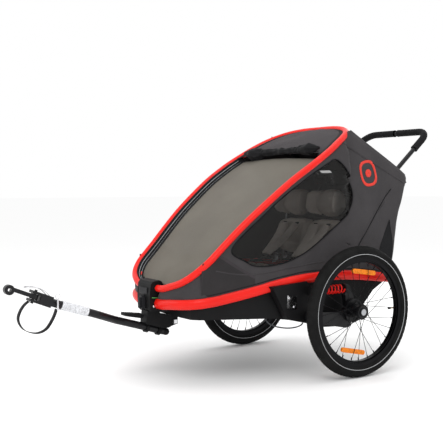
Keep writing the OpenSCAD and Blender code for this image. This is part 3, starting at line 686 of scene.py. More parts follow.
def make_wheel_details(name, side):
    c = wheel_centre(side)
    spokes, rim_in = 28, 188
    parts = []
    for i in range(spokes):
        t = math.tau * i / spokes
        radial = Vector((0, math.cos(t), math.sin(t)))
        foot = c + Vector(((3 if i % 2 == 0 else -3) * side * MM, 0, 0))
        parts.append(tube("nipple", [foot + radial * (rim_in - 13) * MM, foot + radial * (rim_in - 3) * MM],
                          2.1, SLOTS["rim_black"], 8))
    valve = Vector((0, 1, 0))
    parts.append(tube("valve", [c + valve * r * MM for r in (157, 158, 171, 172, 190)], 3.0, BRASS, 10,
                      shape=lambda t: 0.7 if t < 0.15 else 1.0))
    parts.append(tube("valve_cap", [c + valve * r * MM for r in (151, 152, 161, 162)], 4.2,
                      SLOTS["black_plastic"], 12, shape=lambda t: 0.75 if t < 0.1 else 1.0))
    face = side * (18 + 4.2)
    for r, w in ((25, 1.0), (16.4, 0.8)):
        out = face * MM + (0.003 * side if r < 20 else 0)
        ring = [c + Vector((out, r * MM * math.cos(t), r * MM * math.sin(t))) for t in turns_of(48)]
        parts.append(tube("cap_ring", ring, w, SLOTS["black_plastic"], 8, closed=True))
    details = join(f"wheel_details_{name}", parts)
    finish_piece(details, f"wheel_{name}")


for NAME, SIDE in SIDES:
    make_tyre(NAME, SIDE)
    make_wheel_details(NAME, SIDE)


# ---------------------------------------------------------------- side fabric
def side_outline():
    """Outline of the side fabric in the side view, anticlockwise from the nose."""
    low = [(y, value_at(RAIL, y, 1, 2) + RAIL_HALF - 4) for y in range(-612, 231, 14)] + [(234, 374)]
    rear = side_curve(reversed(REAR_EDGE), 4)
    turn = [(HINGE[0] + 30 * math.cos(math.radians(a)), HINGE[1] + 30 * math.sin(math.radians(a)))
            for a in range(-50, 81, 13)]
    strut = [(y, 945 - (y - 60) * 0.554) for y in range(320, 59, -20)]
    hoop = side_curve([p[1:] for p in reversed(HOOP[6:18])], 4)
    top = [(46, 930)] + [(y, z - 3) for y, z in hoop if y < 40]
    return low + rear + turn + strut + top


def centre_of(points):
    return (sum(p[0] for p in points) / len(points), sum(p[1] for p in points) / len(points))


def ray_hit(outline, centre, angle):
    """Furthest point where a ray from the centre crosses the outline."""
    dy, dz = math.cos(angle), math.sin(angle)
    best = 0.0
    for (ay, az), (by, bz) in zip(outline, outline[1:] + outline[:1]):
        ey, ez = by - ay, bz - az
        det = dy * ez - dz * ey
        if abs(det) < 1e-9:
            continue
        py, pz = ay - centre[0], az - centre[1]
        t = (py * ez - pz * ey) / det
        u = (py * dz - pz * dy) / det
        if t > 0 and -1e-9 <= u <= 1 + 1e-9:
            best = max(best, t)
    return (centre[0] + dy * best, centre[1] + dz * best)


WINDOW_LINE = side_curve(WINDOW + WINDOW[:1], 6)[:-1]
WINDOW_MID = (-215, 622)
# The film reaches this much past the window's edge, seen from the window's middle
PANE_REACH = 1.03


def rays():
    """Angles for the side fabric, with one at each corner of its outline."""
    corners = [(-612, 323), (234, 374), (236, 384), (345, 718), (60, 945), (46, 930)]
    turns = turns_of(220)
    turns += [math.atan2(z - WINDOW_MID[1], y - WINDOW_MID[0]) % math.tau for y, z in corners]
    return sorted(set(round(t, 5) for t in turns))


def make_side(name, side):
    outline = side_outline()
    turns = rays()
    rings = 30
    inner = [ray_hit(WINDOW_LINE, WINDOW_MID, t) for t in turns]
    outer = [ray_hit(outline, WINDOW_MID, t) for t in turns]
    rows = []
    for k in range(rings + 1):
        s = k / rings
        row = []
        for (ay, az), (by, bz) in zip(inner, outer):
            row.append(on_wall(side, ay + (by - ay) * s, az + (bz - az) * s))
        rows.append(row)
    panel = grid_piece(f"side_fabric_{name}", rows, SLOTS["side_fabric"], around=True)
    thicken(panel, 1.4)
    # the window film, a little inside the fabric
    film_rows = []
    for k in range(13):
        s = PANE_REACH * k / 12
        film_rows.append([on_wall(side, WINDOW_MID[0] + (y - WINDOW_MID[0]) * s,
                                  WINDOW_MID[1] + (z - WINDOW_MID[1]) * s,
                                  -1.5) for y, z in inner])
    pane = grid_piece(f"side_window_film_{name}", film_rows, SLOTS["window_film"], around=True)
    # black piping round the window, with a row of stitches outside it
    edge = spaced([on_wall(side, y, z, 1.0) for y, z in inner], 0.008, closed=True)
    piping = [tube("piping", edge, 2.4, PIPING, 8, closed=True)]
    my, mz = WINDOW_MID
    wide = [(my + (y - my) * PANE_REACH, mz + (z - mz) * PANE_REACH) for y, z in inner]
    piping += stitch_line([on_wall(side, y, z, 1.1) for y, z in wide], closed=True)
    piping = join(f"window_piping_{name}", piping)
    seams = join(f"side_seams_{name}", side_seams(side))
    emblem = make_emblem(side, name)
    vent = make_vent(side, name)
    finish_piece(panel, "chassis", [f"side_panel_{name}"])
    finish_piece(pane, "chassis", [f"side_window_{name}"])
    extras = ((piping, "black_plastic"), (seams, "side_fabric"), (emblem, "frame_red"), (vent, "side_fabric"))
    for extra, slot in extras:
        finish_piece(extra, "chassis")
    for piece in (panel, pane, piping, seams, emblem, vent):
        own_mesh(piece)


STITCH_STEP = 0.0014
STITCH_LENGTH = 0.0032
STITCH_GAP = 0.0024


def stitch_line(path, closed=False):
    """Short thread dashes along a line in metres."""
    line = spaced(path, STITCH_STEP, closed)
    per, skip = int(STITCH_LENGTH / STITCH_STEP), int(STITCH_GAP / STITCH_STEP) + 1
    parts, i = [], 0
    while i + per < len(line):
        parts.append(tube("stitch", [line[i], line[i + per]], 0.45, THREAD, 4))
        i += per + skip
    return parts


def seam_strip(side, points, width=5.0, mat=None):
    """A flat-felled seam on the side fabric: a raised strip with a row of stitches along it."""
    line = side_curve(points, 8)
    rows = []
    for i, (y, z) in enumerate(line):
        ay, az = line[max(i - 1, 0)]
        by, bz = line[min(i + 1, len(line) - 1)]
        size = math.hypot(by - ay, bz - az)
        ny, nz = -(bz - az) / size, (by - ay) / size
        rows.append([on_wall(side, y + ny * w * width, z + nz * w * width, lift)
                     for w, lift in ((-0.5, 0.3), (-0.42, 1.5), (0.0, 1.7), (0.42, 1.5), (0.5, 0.3))])
    strip = grid_piece("seam", rows, mat or SLOTS["side_fabric"])
    return [strip] + stitch_line([on_wall(side, y, z, 1.9) for y, z in line])


def side_seams(side):
    parts = []
    rear = [(262, 716), (214, 672), (148, 596), (100, 536), (62, 486), (44, 452)]
    front = [(224, 660), (186, 622), (122, 556), (74, 500), (40, 450)]
    parts += seam_strip(side, rear, 9.0)
    parts += seam_strip(side, front, 4.5)
    # a thin black cord beside the rear seam is painted shade: a dark line for the shade along the panel's raised
    # edge
    edge = side_curve([(y + 5, z - 3) for y, z in rear], 8)
    parts.append(tube("seam_painted_shade_line", [on_wall(side, y, z, 1.6) for y, z in edge], 1.7, PIPING, 6))
    band = [(-560, 424), (-470, 408), (-380, 408), (-260, 424),
            (-120, 438), (10, 440), (120, 432), (240, 420)]
    parts += seam_strip(side, band, 6.0)
    foot = [(-600, 336)] + [(y, value_at(RAIL, y, 1, 2) + RAIL_HALF + 7) for y in range(-560, 221, 60)]
    parts += seam_strip(side, foot, 4.0, PIPING)
    return parts


EMBLEM_AT = (143, 776)
INK_LIFT = 1.5


def make_emblem(side, name):
    """A printed ring in the shape of a rounded lozenge, with a dot inside."""
    cy, cz = EMBLEM_AT
    loops = []
    for half_y, half_z, power in ((46, 52, 2.9), (35, 41, 2.7)):
        loop = []
        for t in turns_of(72):
            c, s = math.cos(t), math.sin(t)
            r = (abs(c) ** power + abs(s) ** power) ** (-1 / power)
            y, z = half_y * r * c, half_z * r * s
            loop.append((cy + y * 0.94 - z * 0.25, cz + z * 0.97 + y * 0.18))
        loops.append(loop)
    rows = [[on_wall(side, y, z, INK_LIFT) for y, z in loop] for loop in loops]
    ring = grid_piece("ring", rows, RED_INK, around=True)
    dot_rows = []
    for r in (0.5, 8, 16):
        dot_rows.append([on_wall(side, cy + r * math.cos(t), cz + r * math.sin(t), INK_LIFT)
                         for t in turns_of(36)])
    dot = grid_piece("dot", dot_rows, RED_INK, around=True)
    return thicken(join(f"side_emblem_{name}", [ring, dot]), 0.5)


def make_vent(side, name):
    """Darker cloth at the front foot of the side, under a light binding."""
    binding = [(-566, 488), (-520, 462), (-460, 424), (-408, 394)]
    rows = []
    for i in range(36):
        y = -612 + (-408 + 612) * i / 35
        low = value_at(RAIL, y, 1, 2) + RAIL_HALF + 4
        high = min(value_at(SIDE_HOOP, y, 1, 2) - 6, value_at(binding, y, 0, 1))
        rows.append([on_wall(side, y, low + (max(high, low + 1) - low) * k / 8, 1.3) for k in range(9)])
    net = grid_piece("vent", rows, VENT_CLOTH)
    return join(f"side_vent_{name}", [net] + seam_strip(side, binding, 12.0, SLOTS["visor_fabric"]))


def make_nose_cloth(side, name):
    """Cloth round the front corner, from the side fabric to the connector."""
    foot = curve_points([(56, -690, 296), (92, -689, 296), (130, -681, 300), (174, -665, 303),
                         (207, -643, 306), (228, -615, 309), (237, -590, 312)], 5)
    head = curve_points(HOOP[1:7] + [(236, -590, 450)], 5)
    n = 34
    foot, head = spaced(foot, 1), spaced(head, 1)
    rows = []
    for i in range(n):
        p = foot[int(i * (len(foot) - 1) / (n - 1))] + Vector((0, 0, RAIL_HALF - 5))
        q = head[int(i * (len(head) - 1) / (n - 1))] - Vector((0, 0, HOOP_R - 4))
        row = []
        for k in range(13):
            r = p.lerp(q, k / 12)
            out = 3 * math.sin(math.pi * k / 12) + 1.5 * ripple(r.y * 2, r.z * 2, side)
            row.append(at(side * (r.x + 0.6 * out), r.y - 0.6 * out, r.z))
        rows.append(row)
    nose = grid_piece(f"nose_cloth_{name}", rows, SLOTS["side_fabric"])
    thicken(nose, 1.2)
    finish_piece(nose, "chassis")
    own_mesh(nose)


for NAME, SIDE in SIDES:
    make_side(NAME, SIDE)
    make_nose_cloth(SIDE, NAME)


# ---------------------------------------------------------------- screen, visor and roof
CLOTH_INSET = 15.0


def hoop_at(k):
    """Place and heading on the hoop at point number k, which may be a fraction."""
    i = min(int(k), len(HOOP) - 2)
    line = curve_points(HOOP[max(i - 1, 0):i + 3], 16)
    base = (i - max(i - 1, 0)) * 16
    j = min(base + int(round((k - i) * 16)), len(line) - 1)
    return line[j]


def across_hoop(k, a, crown, depth=0.0):
    """Place on the cloth across the hoop; a runs from -1 at the right tube to 1 at the left."""
    p = hoop_at(k)
    q, r = hoop_at(max(k - 0.25, 0)), hoop_at(min(k + 0.25, len(HOOP) - 1))
    run = (r - q).normalized()
    slope = max(math.hypot(run.y, run.z), 0.35)
    x = (p.x - CLOTH_INSET / slope) * a
    out = crown * (1 - a * a) + 4 - depth
    return at(x, p.y - out * run.z / slope, p.z + out * run.y / slope)


SCREEN_DEPTH = 24.0


def make_screen():
    """The mesh screen lies deeper than the hoop, at the foot of a black band with two lines of piping."""
    first, last, crown = 3.6, 13.5, 12.0
    rows = []
    for i in range(60):
        k = first + (last - first) * i / 59
        row = []
        for j in range(41):
            rise = crown + 1.5 * ripple(i * 9, j * 14, 2.0)
            row.append(across_hoop(k, -0.97 + 1.94 * j / 40, rise, SCREEN_DEPTH))
        rows.append(row)
    screen = grid_piece("front_screen_mesh", rows, SLOTS["screen_fabric"])
    thicken(screen, 0.8)
    finish_piece(screen, "upper_frame", ["front_screen"])
    parts = []
    for s in (-1, 1):
        edge_rows = []
        for i in range(90):
            k = 2.0 + (13.7 - 2.0) * i / 89
            half = max(hoop_at(k).x - CLOTH_INSET, 20)
            row = []
            for j in range(9):
                t = j / 8
                inset = -3 + 24 * t
                depth = -1 + (SCREEN_DEPTH - 2) * min(1.6 * t, 1.0)
                row.append(across_hoop(k, s * (1 - inset / half), 0.0, depth))
            edge_rows.append(row)
        parts.append(thicken(grid_piece("band", edge_rows, DARK_CLOTH), 1.2))
        for inset, depth in ((3.5, 9.0), (9.0, 18.0)):
            path = []
            for i in range(110):
                k = 3.0 + (13.4 - 3.0) * i / 109
                half = max(hoop_at(k).x - CLOTH_INSET, 20)
                path.append(across_hoop(k, s * (1 - inset / half), 0.0, depth))
            parts.append(tube("zip_piping", spaced(path, 0.01), 1.5, SILVER_PIPING, 8))
    apron = []
    for i in range(20):
        t = i / 19
        k = 1.4 + (4.3 - 1.4) * t
        apron.append([across_hoop(k, -1.02 + 2.04 * j / 24, 6 * t, (SCREEN_DEPTH - 2) * min(1.0, 1.8 * t))
                      for j in range(25)])
    parts.append(thicken(grid_piece("apron", apron, DARK_CLOTH), 1.4))
    border = join("screen_border", parts)
    finish_piece(border, "upper_frame")
    tag = [[across_hoop(4.4 + 0.05 * i, -0.93 + 0.012 * j, 0.0, 12) for j in range(5)] for i in range(9)]
    label = thicken(grid_piece("screen_tag", tag, RED_CLOTH), 1.2)
    finish_piece(label, "upper_frame")


def make_visor():
    first, last = 13.6, 18.6
    rows = []
    for i in range(30):
        k = first + (last - first) * i / 29
        rows.append([across_hoop(k, -1 + 2 * j / 44, 6.0 + 3.0 * ripple(i * 11, j * 10, 6.0))
                     for j in range(45)])
    visor = grid_piece("visor_cloth", rows, SLOTS["visor_fabric"])
    thicken(visor, 1.2)
    finish_piece(visor, "upper_frame", ["visor"])
    parts = []
    for s in (-1, 1):
        edge_rows = []
        for i in range(26):
            k = 13.4 + (18.4 - 13.4) * i / 25
            half = max(hoop_at(k).x - CLOTH_INSET, 20)
            lift = Vector((0, -0.0007, 0.0012))
            edge_rows.append([across_hoop(k, s * (1.05 - (18 / half + 0.05) * j / 3), 5.0) + lift
                              for j in range(4)])
        parts.append(thicken(grid_piece("band", edge_rows, DARK_CLOTH), 1.0))
    hem = [across_hoop(18.55, -0.97 + 1.94 * j / 40, 7.0) + Vector((0, -0.001, 0.0015)) for j in range(41)]
    parts += stitch_line(hem)
    trim = join("visor_binding", parts)
    finish_piece(trim, "upper_frame")


def make_roll():
    """The rolled-up rain cover under the visor, lumpy and tied with two straps."""
    steps, sides = 120, 28
    rows = []
    for i in range(steps):
        t = i / (steps - 1)
        x = 250 - 500 * t
        size = 12.5 + 10.5 * math.exp(-((x - 190) / 52) ** 2) + 12.0 * math.exp(-((x + 180) / 66) ** 2)
        size += 5.0 * noise.noise(Vector((x * 0.035, 1.0, 0)))
        for tie in (120, -110):
            size *= 1 - 0.22 * math.exp(-((x - tie) / 9) ** 2)
        size *= min(1.0, 0.35 + 6 * min(t, 1 - t))
        drop = 6 * math.sin(math.pi * t) + 3 * noise.noise(Vector((x * 0.012, 4.0, 0)))
        drop += 9 * math.exp(-((x + 200) / 90) ** 2)
        row = []
        for k in range(sides):
            a = math.tau * k / sides
            r = size * (1 + 0.34 * noise.noise(Vector((x * 0.02, 2.2 * math.cos(a), 2.2 * math.sin(a) + 3)))
                        + 0.06 * math.sin(5 * a + x * 0.02))
            row.append(at(x, -93 + 0.9 * r * math.cos(a), 872 - drop + r * math.sin(a)))
        rows.append(row)
    points = [p for row in rows for p in row]
    faces = grid_faces(steps, sides, True)
    faces += [list(range(sides))[::-1], [(steps - 1) * sides + j for j in range(sides)]]
    roll = mesh_piece("rolled_rain_cover", points, faces, DARK_CLOTH)
    finish_piece(roll, "upper_frame", ["rolled_cover"])
    ties = []
    for x in (120, -110):
        ring = [at(x, -93 + 11.5 * math.cos(t), 867 + 11.5 * math.sin(t)) for t in turns_of(32)]
        ties.append(tube("tie", ring, 0, DARK_CLOTH, 8, closed=True, flat=(1.6, 16), up=Vector((1, 0, 0))))
    straps = join("cover_ties", ties)
    finish_piece(straps, "upper_frame")


def make_roof():
    """One curved sheet from the back of the hoop over the struts to the handlebar hinges."""
    back = HOOP[16:21]
    columns, lines = 49, 26
    rows = []
    for i in range(lines):
        v = i / (lines - 1)
        row = []
        for j in range(columns):
            a = -1 + 2 * j / (columns - 1)
            s = 1 if a >= 0 else -1
            flat_part = 0.86
            if abs(a) <= flat_part:
                x = 240 * abs(a) / flat_part
                down = 0.0
            else:
                turn = math.pi / 2 * (abs(a) - flat_part) / (1 - flat_part)
                x = 240 + (SHOULDER_X + 1.2 - 240) * math.sin(turn)
                down = 20 * (1 - math.cos(turn))
            front = [(p[0], p[1], p[2]) for p in reversed(back)]
            fy = value_at(front, min(x, 257), 0, 1) + 14
            fz = value_at(front, min(x, 257), 0, 2) + 4
            y = fy + (322 - fy) * v
            z = fz + (797 - fz) * v - down
            hollow = 4 * v * (1 - v) * (1 - (x / 245) ** 2 if x < 245 else 0)
            z -= hollow * (7 + 4 * ripple(x, 300 * v, 9.0))
            row.append(at(s * x, y, z))
        rows.append(row)
    roof = grid_piece("roof_cloth", rows, SLOTS["side_fabric"])
    thicken(roof, 1.4)
    finish_piece(roof, "upper_frame", ["roof_panel"])
    hem = [rows[-2][j] + Vector((0, 0, 0.0012)) for j in range(4, columns - 4)]
    seam = join("roof_seam", stitch_line(hem) + [tube("hem", rows[-1], 1.6, PIPING, 8)])
    finish_piece(seam, "upper_frame")


def make_shoulders():
    """Cloth over each strut and the outside of its hinge; it turns with the hoop."""
    for name, side in SIDES:
        top = [(-6, 898), (30, 922), (60, 945)] + [(y, 945 - (y - 60) * 0.554) for y in range(100, 321, 20)]
        top += [(HINGE[0] + 30 * math.cos(math.radians(a)), HINGE[1] + 30 * math.sin(math.radians(a)))
                for a in range(90, -51, -14)]
        top = spaced([(p[0] * MM, p[1] * MM, 0) for p in top], 0.012)
        n = len(top)
        low = [Vector((-8, 896, 0)).lerp(Vector((352, 732, 0)), i / (n - 1)) * MM for i in range(n)]
        rows = []
        for i, (p, q) in enumerate(zip(top, low)):
            row = []
            for k in range(9):
                s = k / 8
                y, z = (p.x + (q.x - p.x) * s) / MM, (p.y + (q.y - p.y) * s) / MM
                inward = 12 * (1 - math.sin(math.pi / 2 * min(s / 0.16, 1)))
                row.append(on_wall(side, y, z, 1.3 - inward * min(i / 4, 1)))
            rows.append(row)
        cover = grid_piece(f"shoulder_cloth_{name}", rows, SLOTS["side_fabric"])
        thicken(cover, 0.9)
        finish_piece(cover, "upper_frame")
        bent = [at(side * x, y, z)
                for x, y, z in ((236, 350, 752), (238, 366, 751), (240, 374, 747), (240, 377, 738))]
        lever = tube(f"hinge_lever_{name}", bent, 0, SLOTS["black_plastic"], 12, flat=(20, 9),
                     up=Vector((0, 0.3, 1)))
        finish_piece(lever, "upper_frame")


def make_flap():
    """The roof's rear edge hangs down between the handlebar's hinges to the top of the rear panel."""
    fall = [(322, 796), (336, 784), (345, 764), (349, 744), (349, 728)]
    rows = []
    line = [(p.x, p.y) for p in spaced([(*p, 0) for p in side_curve(fall, 6)], 6)]
    for y, z in line:
        rows.append([at(-170 + 340 * j / 40, y + 2.2 * ripple(j * 12, z, 3.0), z) for j in range(41)])
    flap = grid_piece("roof_flap", rows, SLOTS["side_fabric"])
    thicken(flap, 1.2)
    finish_piece(flap, "upper_frame")


make_screen()
make_visor()
make_roll()
make_roof()
make_flap()
make_shoulders()


# ---------------------------------------------------------------- rear panel
def make_rear():
    line = curve_points([(y, z, 0) for y, z in [(352, 738)] + REAR_EDGE + [(232, 366)]], 6)
    line = spaced([(p.x * MM, p.y * MM, 0) for p in line], 0.009)
    rows = []
    for p in line:
        y, z = p.x / MM, p.y / MM
        half = wall_x(y, z) - 1
        row = []
        for j in range(49):
            a = -1 + 2 * j / 48
            bulge = 7 * (1 - abs(a) ** 6) + 2.5 * ripple(a * 260, z, 4.0)
            row.append(at(half * a, y + bulge - 5, z))
        rows.append(row)
    rear = grid_piece("rear_cloth", rows, SLOTS["side_fabric"])
    thicken(rear, 1.4)
    finish_piece(rear, "chassis", ["rear_panel"])
    parts = []
    n = len(rows)
    for s in (-1, 1):
        column = 24 + s * 19
        path = [rows[i][column] + Vector((0, 0.0022, 0)) for i in range(3, n - 3)]
        parts.append(tube("zip", path, 0, PIPING, 8, flat=(9, 2.4), up=Vector((0, 1, 0))))
        parts += stitch_line([p + Vector((s * 0.008, 0, 0)) for p in path])
        pull = path[6] + Vector((0, 0.004, 0))
        parts.append(tube("pull", [pull, pull + Vector((0, 0.001, -0.03))], 0, SLOTS["black_plastic"], 8,
                          flat=(7, 2.0), up=Vector((0, 1, 0))))
    for level, mat, size in ((int(n * 0.30), SLOTS["reflective_white"], 14), (int(n * 0.72), PIPING, 5)):
        path = [rows[level][j] + Vector((0, 0.002, 0)) for j in range(6, 43)]
        parts.append(tube("strip", path, 0, mat, 8, flat=(size, 1.6), up=Vector((0, 1, 0))))
    lift = Vector((0, 0.0016, 0))
    flap = [[rows[i][j] + lift for j in range(6, 43)] for i in range(int(n * 0.73), n - 1)]
    parts.append(thicken(grid_piece("flap", flap, DARK_CLOTH), 1.0))
    trim = join("rear_zips", parts)
    finish_piece(trim, "chassis")
    for piece in (rear, trim):
        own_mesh(piece)
    # black triangle behind the side fabric, over the wheel
    for name, side in SIDES:
        edge = [(246, 590), (250, 560), (258, 500), (250, 440), (236, 392),
                (222, 392), (200, 430), (184, 470), (214, 530)]
        mid = centre_of(edge)
        outline = side_curve(edge + edge[:1], 5)[:-1]
        rows = []
        for s in (0.02, 0.25, 0.5, 0.75, 1.0):
            rows.append([on_wall(side, mid[0] + (y - mid[0]) * s, mid[1] + (z - mid[1]) * s, 1.3)
                         for y, z in outline])
        patch = grid_piece("patch", rows, DARK_CLOTH, around=True)
        rim = tube("rim", spaced(rows[-1], 0.006, closed=True), 0.9, PIPING, 6, closed=True)
        corner = join(f"rear_corner_{name}", [patch, rim])
        finish_piece(corner, "chassis")
        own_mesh(corner)


make_rear()


# ---------------------------------------------------------------- seats
BACK = JOINT["back_fold"]
BACK_AT = (BACK["pos_m"][1] / MM - AXLE_Y / MM, BACK["pos_m"][2] / MM)
BACK_LEAN = math.radians(6)
BACK_UP = Vector((0, math.sin(BACK_LEAN), math.cos(BACK_LEAN)))
BACK_FRONT = Vector((0, -math.cos(BACK_LEAN), math.sin(BACK_LEAN)))


def on_back(x, out, up):
    """Place on the back rest: out in front of its frame's middle, up from its pivot."""
    return at(x, *BACK_AT) + (BACK_FRONT * out + BACK_UP * up) * MM


PUFF_PRESSURE = 4.0
PUFF_FRAMES = 14


def puff(obj, voxel, cap):
    """Swells a closed form with a cloth simulation, each point moving at most cap millimetres."""
    remesh = obj.modifiers.new("remesh", "REMESH")
    remesh.mode = "VOXEL"
    remesh.voxel_size = voxel * MM
    apply_all(obj)
    rest = [v.co.copy() for v in obj.data.vertices]
    cloth_mod = obj.modifiers.new("cloth", "CLOTH")
    cloth_mod.settings.use_pressure = True
    cloth_mod.settings.uniform_pressure_force = PUFF_PRESSURE
    cloth_mod.settings.effector_weights.gravity = 0.0
    cloth_mod.settings.quality = 4
    cloth_mod.settings.mass = 0.2
    cloth_mod.point_cache.frame_end = PUFF_FRAMES + 1
    for f in range(1, PUFF_FRAMES + 1):
        bpy.context.scene.frame_set(f)
    apply_all(obj)
    bpy.context.scene.frame_set(1)
    for v, r in zip(obj.data.vertices, rest):
        step = v.co - r
        if step.length > cap * MM:
            v.co = r + step.normalized() * cap * MM
    smooth = obj.modifiers.new("smooth", "SMOOTH")
    smooth.factor = 0.5
    smooth.iterations = 4
    apply_all(obj)
    obj.data.shade_smooth()
    return obj


def pillow(name, place, wide, high, thick, mat, corner=2.6, dome=0.5, n=26):
    """A closed stuffed form: place(u, v, w) puts it, with u and v from -1 to 1 and w its depth in mm."""
    front, back = [], []
    for i in range(n + 1):
        fr, br = [], []
        for j in range(n + 1):
            u, v = -1 + 2 * j / n, -1 + 2 * i / n
            r = max(abs(u), abs(v))
            if r > 0:
                round_r = (abs(u) ** corner + abs(v) ** corner) ** (1 / corner)
                scale = r / round_r
            else:
                scale = 1.0
            edge = (1 - r ** 4) ** dome
            fr.append(place(u * scale * wide / 2, v * scale * high / 2, thick * (0.06 + 0.94 * edge)))
            br.append(place(u * scale * wide / 2, v * scale * high / 2, -thick * 0.06))
        front.append(fr)
        back.append(br)
    m = n + 1
    points = [p for row in front for p in row] + [p for row in back for p in row]
    skip = m * m
    faces = grid_faces(m, m) + [tuple(reversed([i + skip for i in f])) for f in grid_faces(m, m)]
    rim = list(range(m)) + [i * m + m - 1 for i in range(1, m)] + [m * m - 1 - j for j in range(1, m)]
    rim += [(m - 1 - i) * m for i in range(1, m - 1)]
    for a, b in zip(rim, rim[1:] + rim[:1]):
        faces.append((b, a, a + skip, b + skip))
    return mesh_piece(name, points, faces, mat)


SEAT_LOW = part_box("seat_cushion")[0][2] / MM


def seat_top(y):
    """Height of the cushion's top along Y, in the CAD cushion's own profile."""
    profile = [(-302, 366), (-296, 388), (-280, 396), (-250, 397), (-150, 386), (30, 370), (46, 360)]
    return value_at(profile, y, 0, 1)


def make_cushion():
    parts = []
    for s in (1, -1):
        rows_n, cols = 34, 30
        top, low = [], []
        for i in range(rows_n + 1):
            v = i / rows_n
            y = -298 + 338 * v
            tr, lr = [], []
            for j in range(cols + 1):
                u = j / cols
                x = 6 + 250 * u
                edge = min(1.0, 9 * min(u, 1 - u)) * min(1.0, 9 * min(v, 1 - v))
                crown = 5 * math.sin(math.pi * u) * math.sin(math.pi * v)
                channel = sum(5.0 * math.exp(-((y - c) / 6) ** 2) for c in (-210, -130, -50))
                side_roll = 9 * (math.exp(-((u - 0.1) / 0.09) ** 2) + math.exp(-((u - 0.9) / 0.09) ** 2))
                z = seat_top(y) - 15 * (1 - math.sqrt(edge)) + crown - channel + side_roll - 4
                tr.append(at(s * x, y, z))
                lr.append(at(s * x, y, SEAT_LOW + 5 * (1 - edge)))
            top.append(tr)
            low.append(lr)
        m = cols + 1
        points = [p for row in top for p in row] + [p for row in low for p in row]
        skip = (rows_n + 1) * m
        faces = grid_faces(rows_n + 1, m)
        faces += [tuple(reversed([i + skip for i in f])) for f in faces]
        rim = list(range(m)) + [i * m + m - 1 for i in range(1, rows_n + 1)]
        rim += [rows_n * m + m - 1 - j for j in range(1, m)] + [(rows_n - i) * m for i in range(1, rows_n)]
        for a, b in zip(rim, rim[1:] + rim[:1]):
            faces.append((b, a, a + skip, b + skip))
        if s < 0:
            faces = [tuple(reversed(f)) for f in faces]
        parts.append(mesh_piece("half", points, faces, SLOTS["seat_fabric"]))
    cushion = join("seat_cushion_padding", parts)
    puff(cushion, 6.0, 7.0)
    finish_piece(cushion, "chassis", ["seat_cushion"])
    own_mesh(cushion)


def make_back():
    pads, heads = [], []
    for s in (1, -1):
        mid = 106
        for low, high in ((18, 68), (66, 116), (114, 172)):
            pads.append(pillow("channel", lambda u, v, w: on_back(s * mid + u, 14 + w, (low + high) / 2 + v),
                               176, high - low + 6, 30, SLOTS["seat_fabric"], 5.0, 0.42, 22))
        for edge in (-1, 1):
            pads.append(pillow("bolster", lambda u, v, w, e=edge: on_back(
                s * mid + e * 82 + u, 16 + w, 95 + v), 38, 150, 44, SLOTS["seat_fabric"], 3.0, 0.5, 20))
        heads.append(pillow("head", lambda u, v, w: on_back(s * 109 + u, 12 + w, 240 + v),
                            138, 118, 52, SLOTS["seat_fabric"], 2.5, 0.5, 26))
        for edge in (-1, 1):
            heads.append(pillow("wing", lambda u, v, w, e=edge: on_back(
                s * 109 + e * (56 + w * 0.3) + u * 0.5, 30 + 0.9 * w + abs(u) * 0.2, 238 + v),
                44, 112, 74, SLOTS["seat_fabric"], 2.4, 0.5, 22))
    pad = puff(join("back_rest_padding", pads), 5.0, 5.0)
    head = puff(join("headrest_padding", heads), 5.0, 6.0)
    for obj, node, fill in ((pad, "back_pads", 0.6), (head, "headrests", 0.75)):
        finish_piece(obj, "back_rest", [node])
        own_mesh(obj)
    # cloth hung on the back rest's frame
    rows = []
    for i in range(31):
        up = 8 + 276 * i / 30
        sag = 10 * math.sin(math.pi * i / 30)
        rows.append([on_back(-212 + 424 * j / 40, 6 - sag * math.sin(math.pi * j / 40), up)
                     for j in range(41)])
    sling = grid_piece("back_sling", rows, DARK_CLOTH)
    thicken(sling, 1.5)
    finish_piece(sling, "back_rest")


def strap_mesh(name, path, width, thick, mat, up):
    return tube(name, path, 0, mat, 10, flat=(width, thick), up=up)


BUCKLE_X = 102


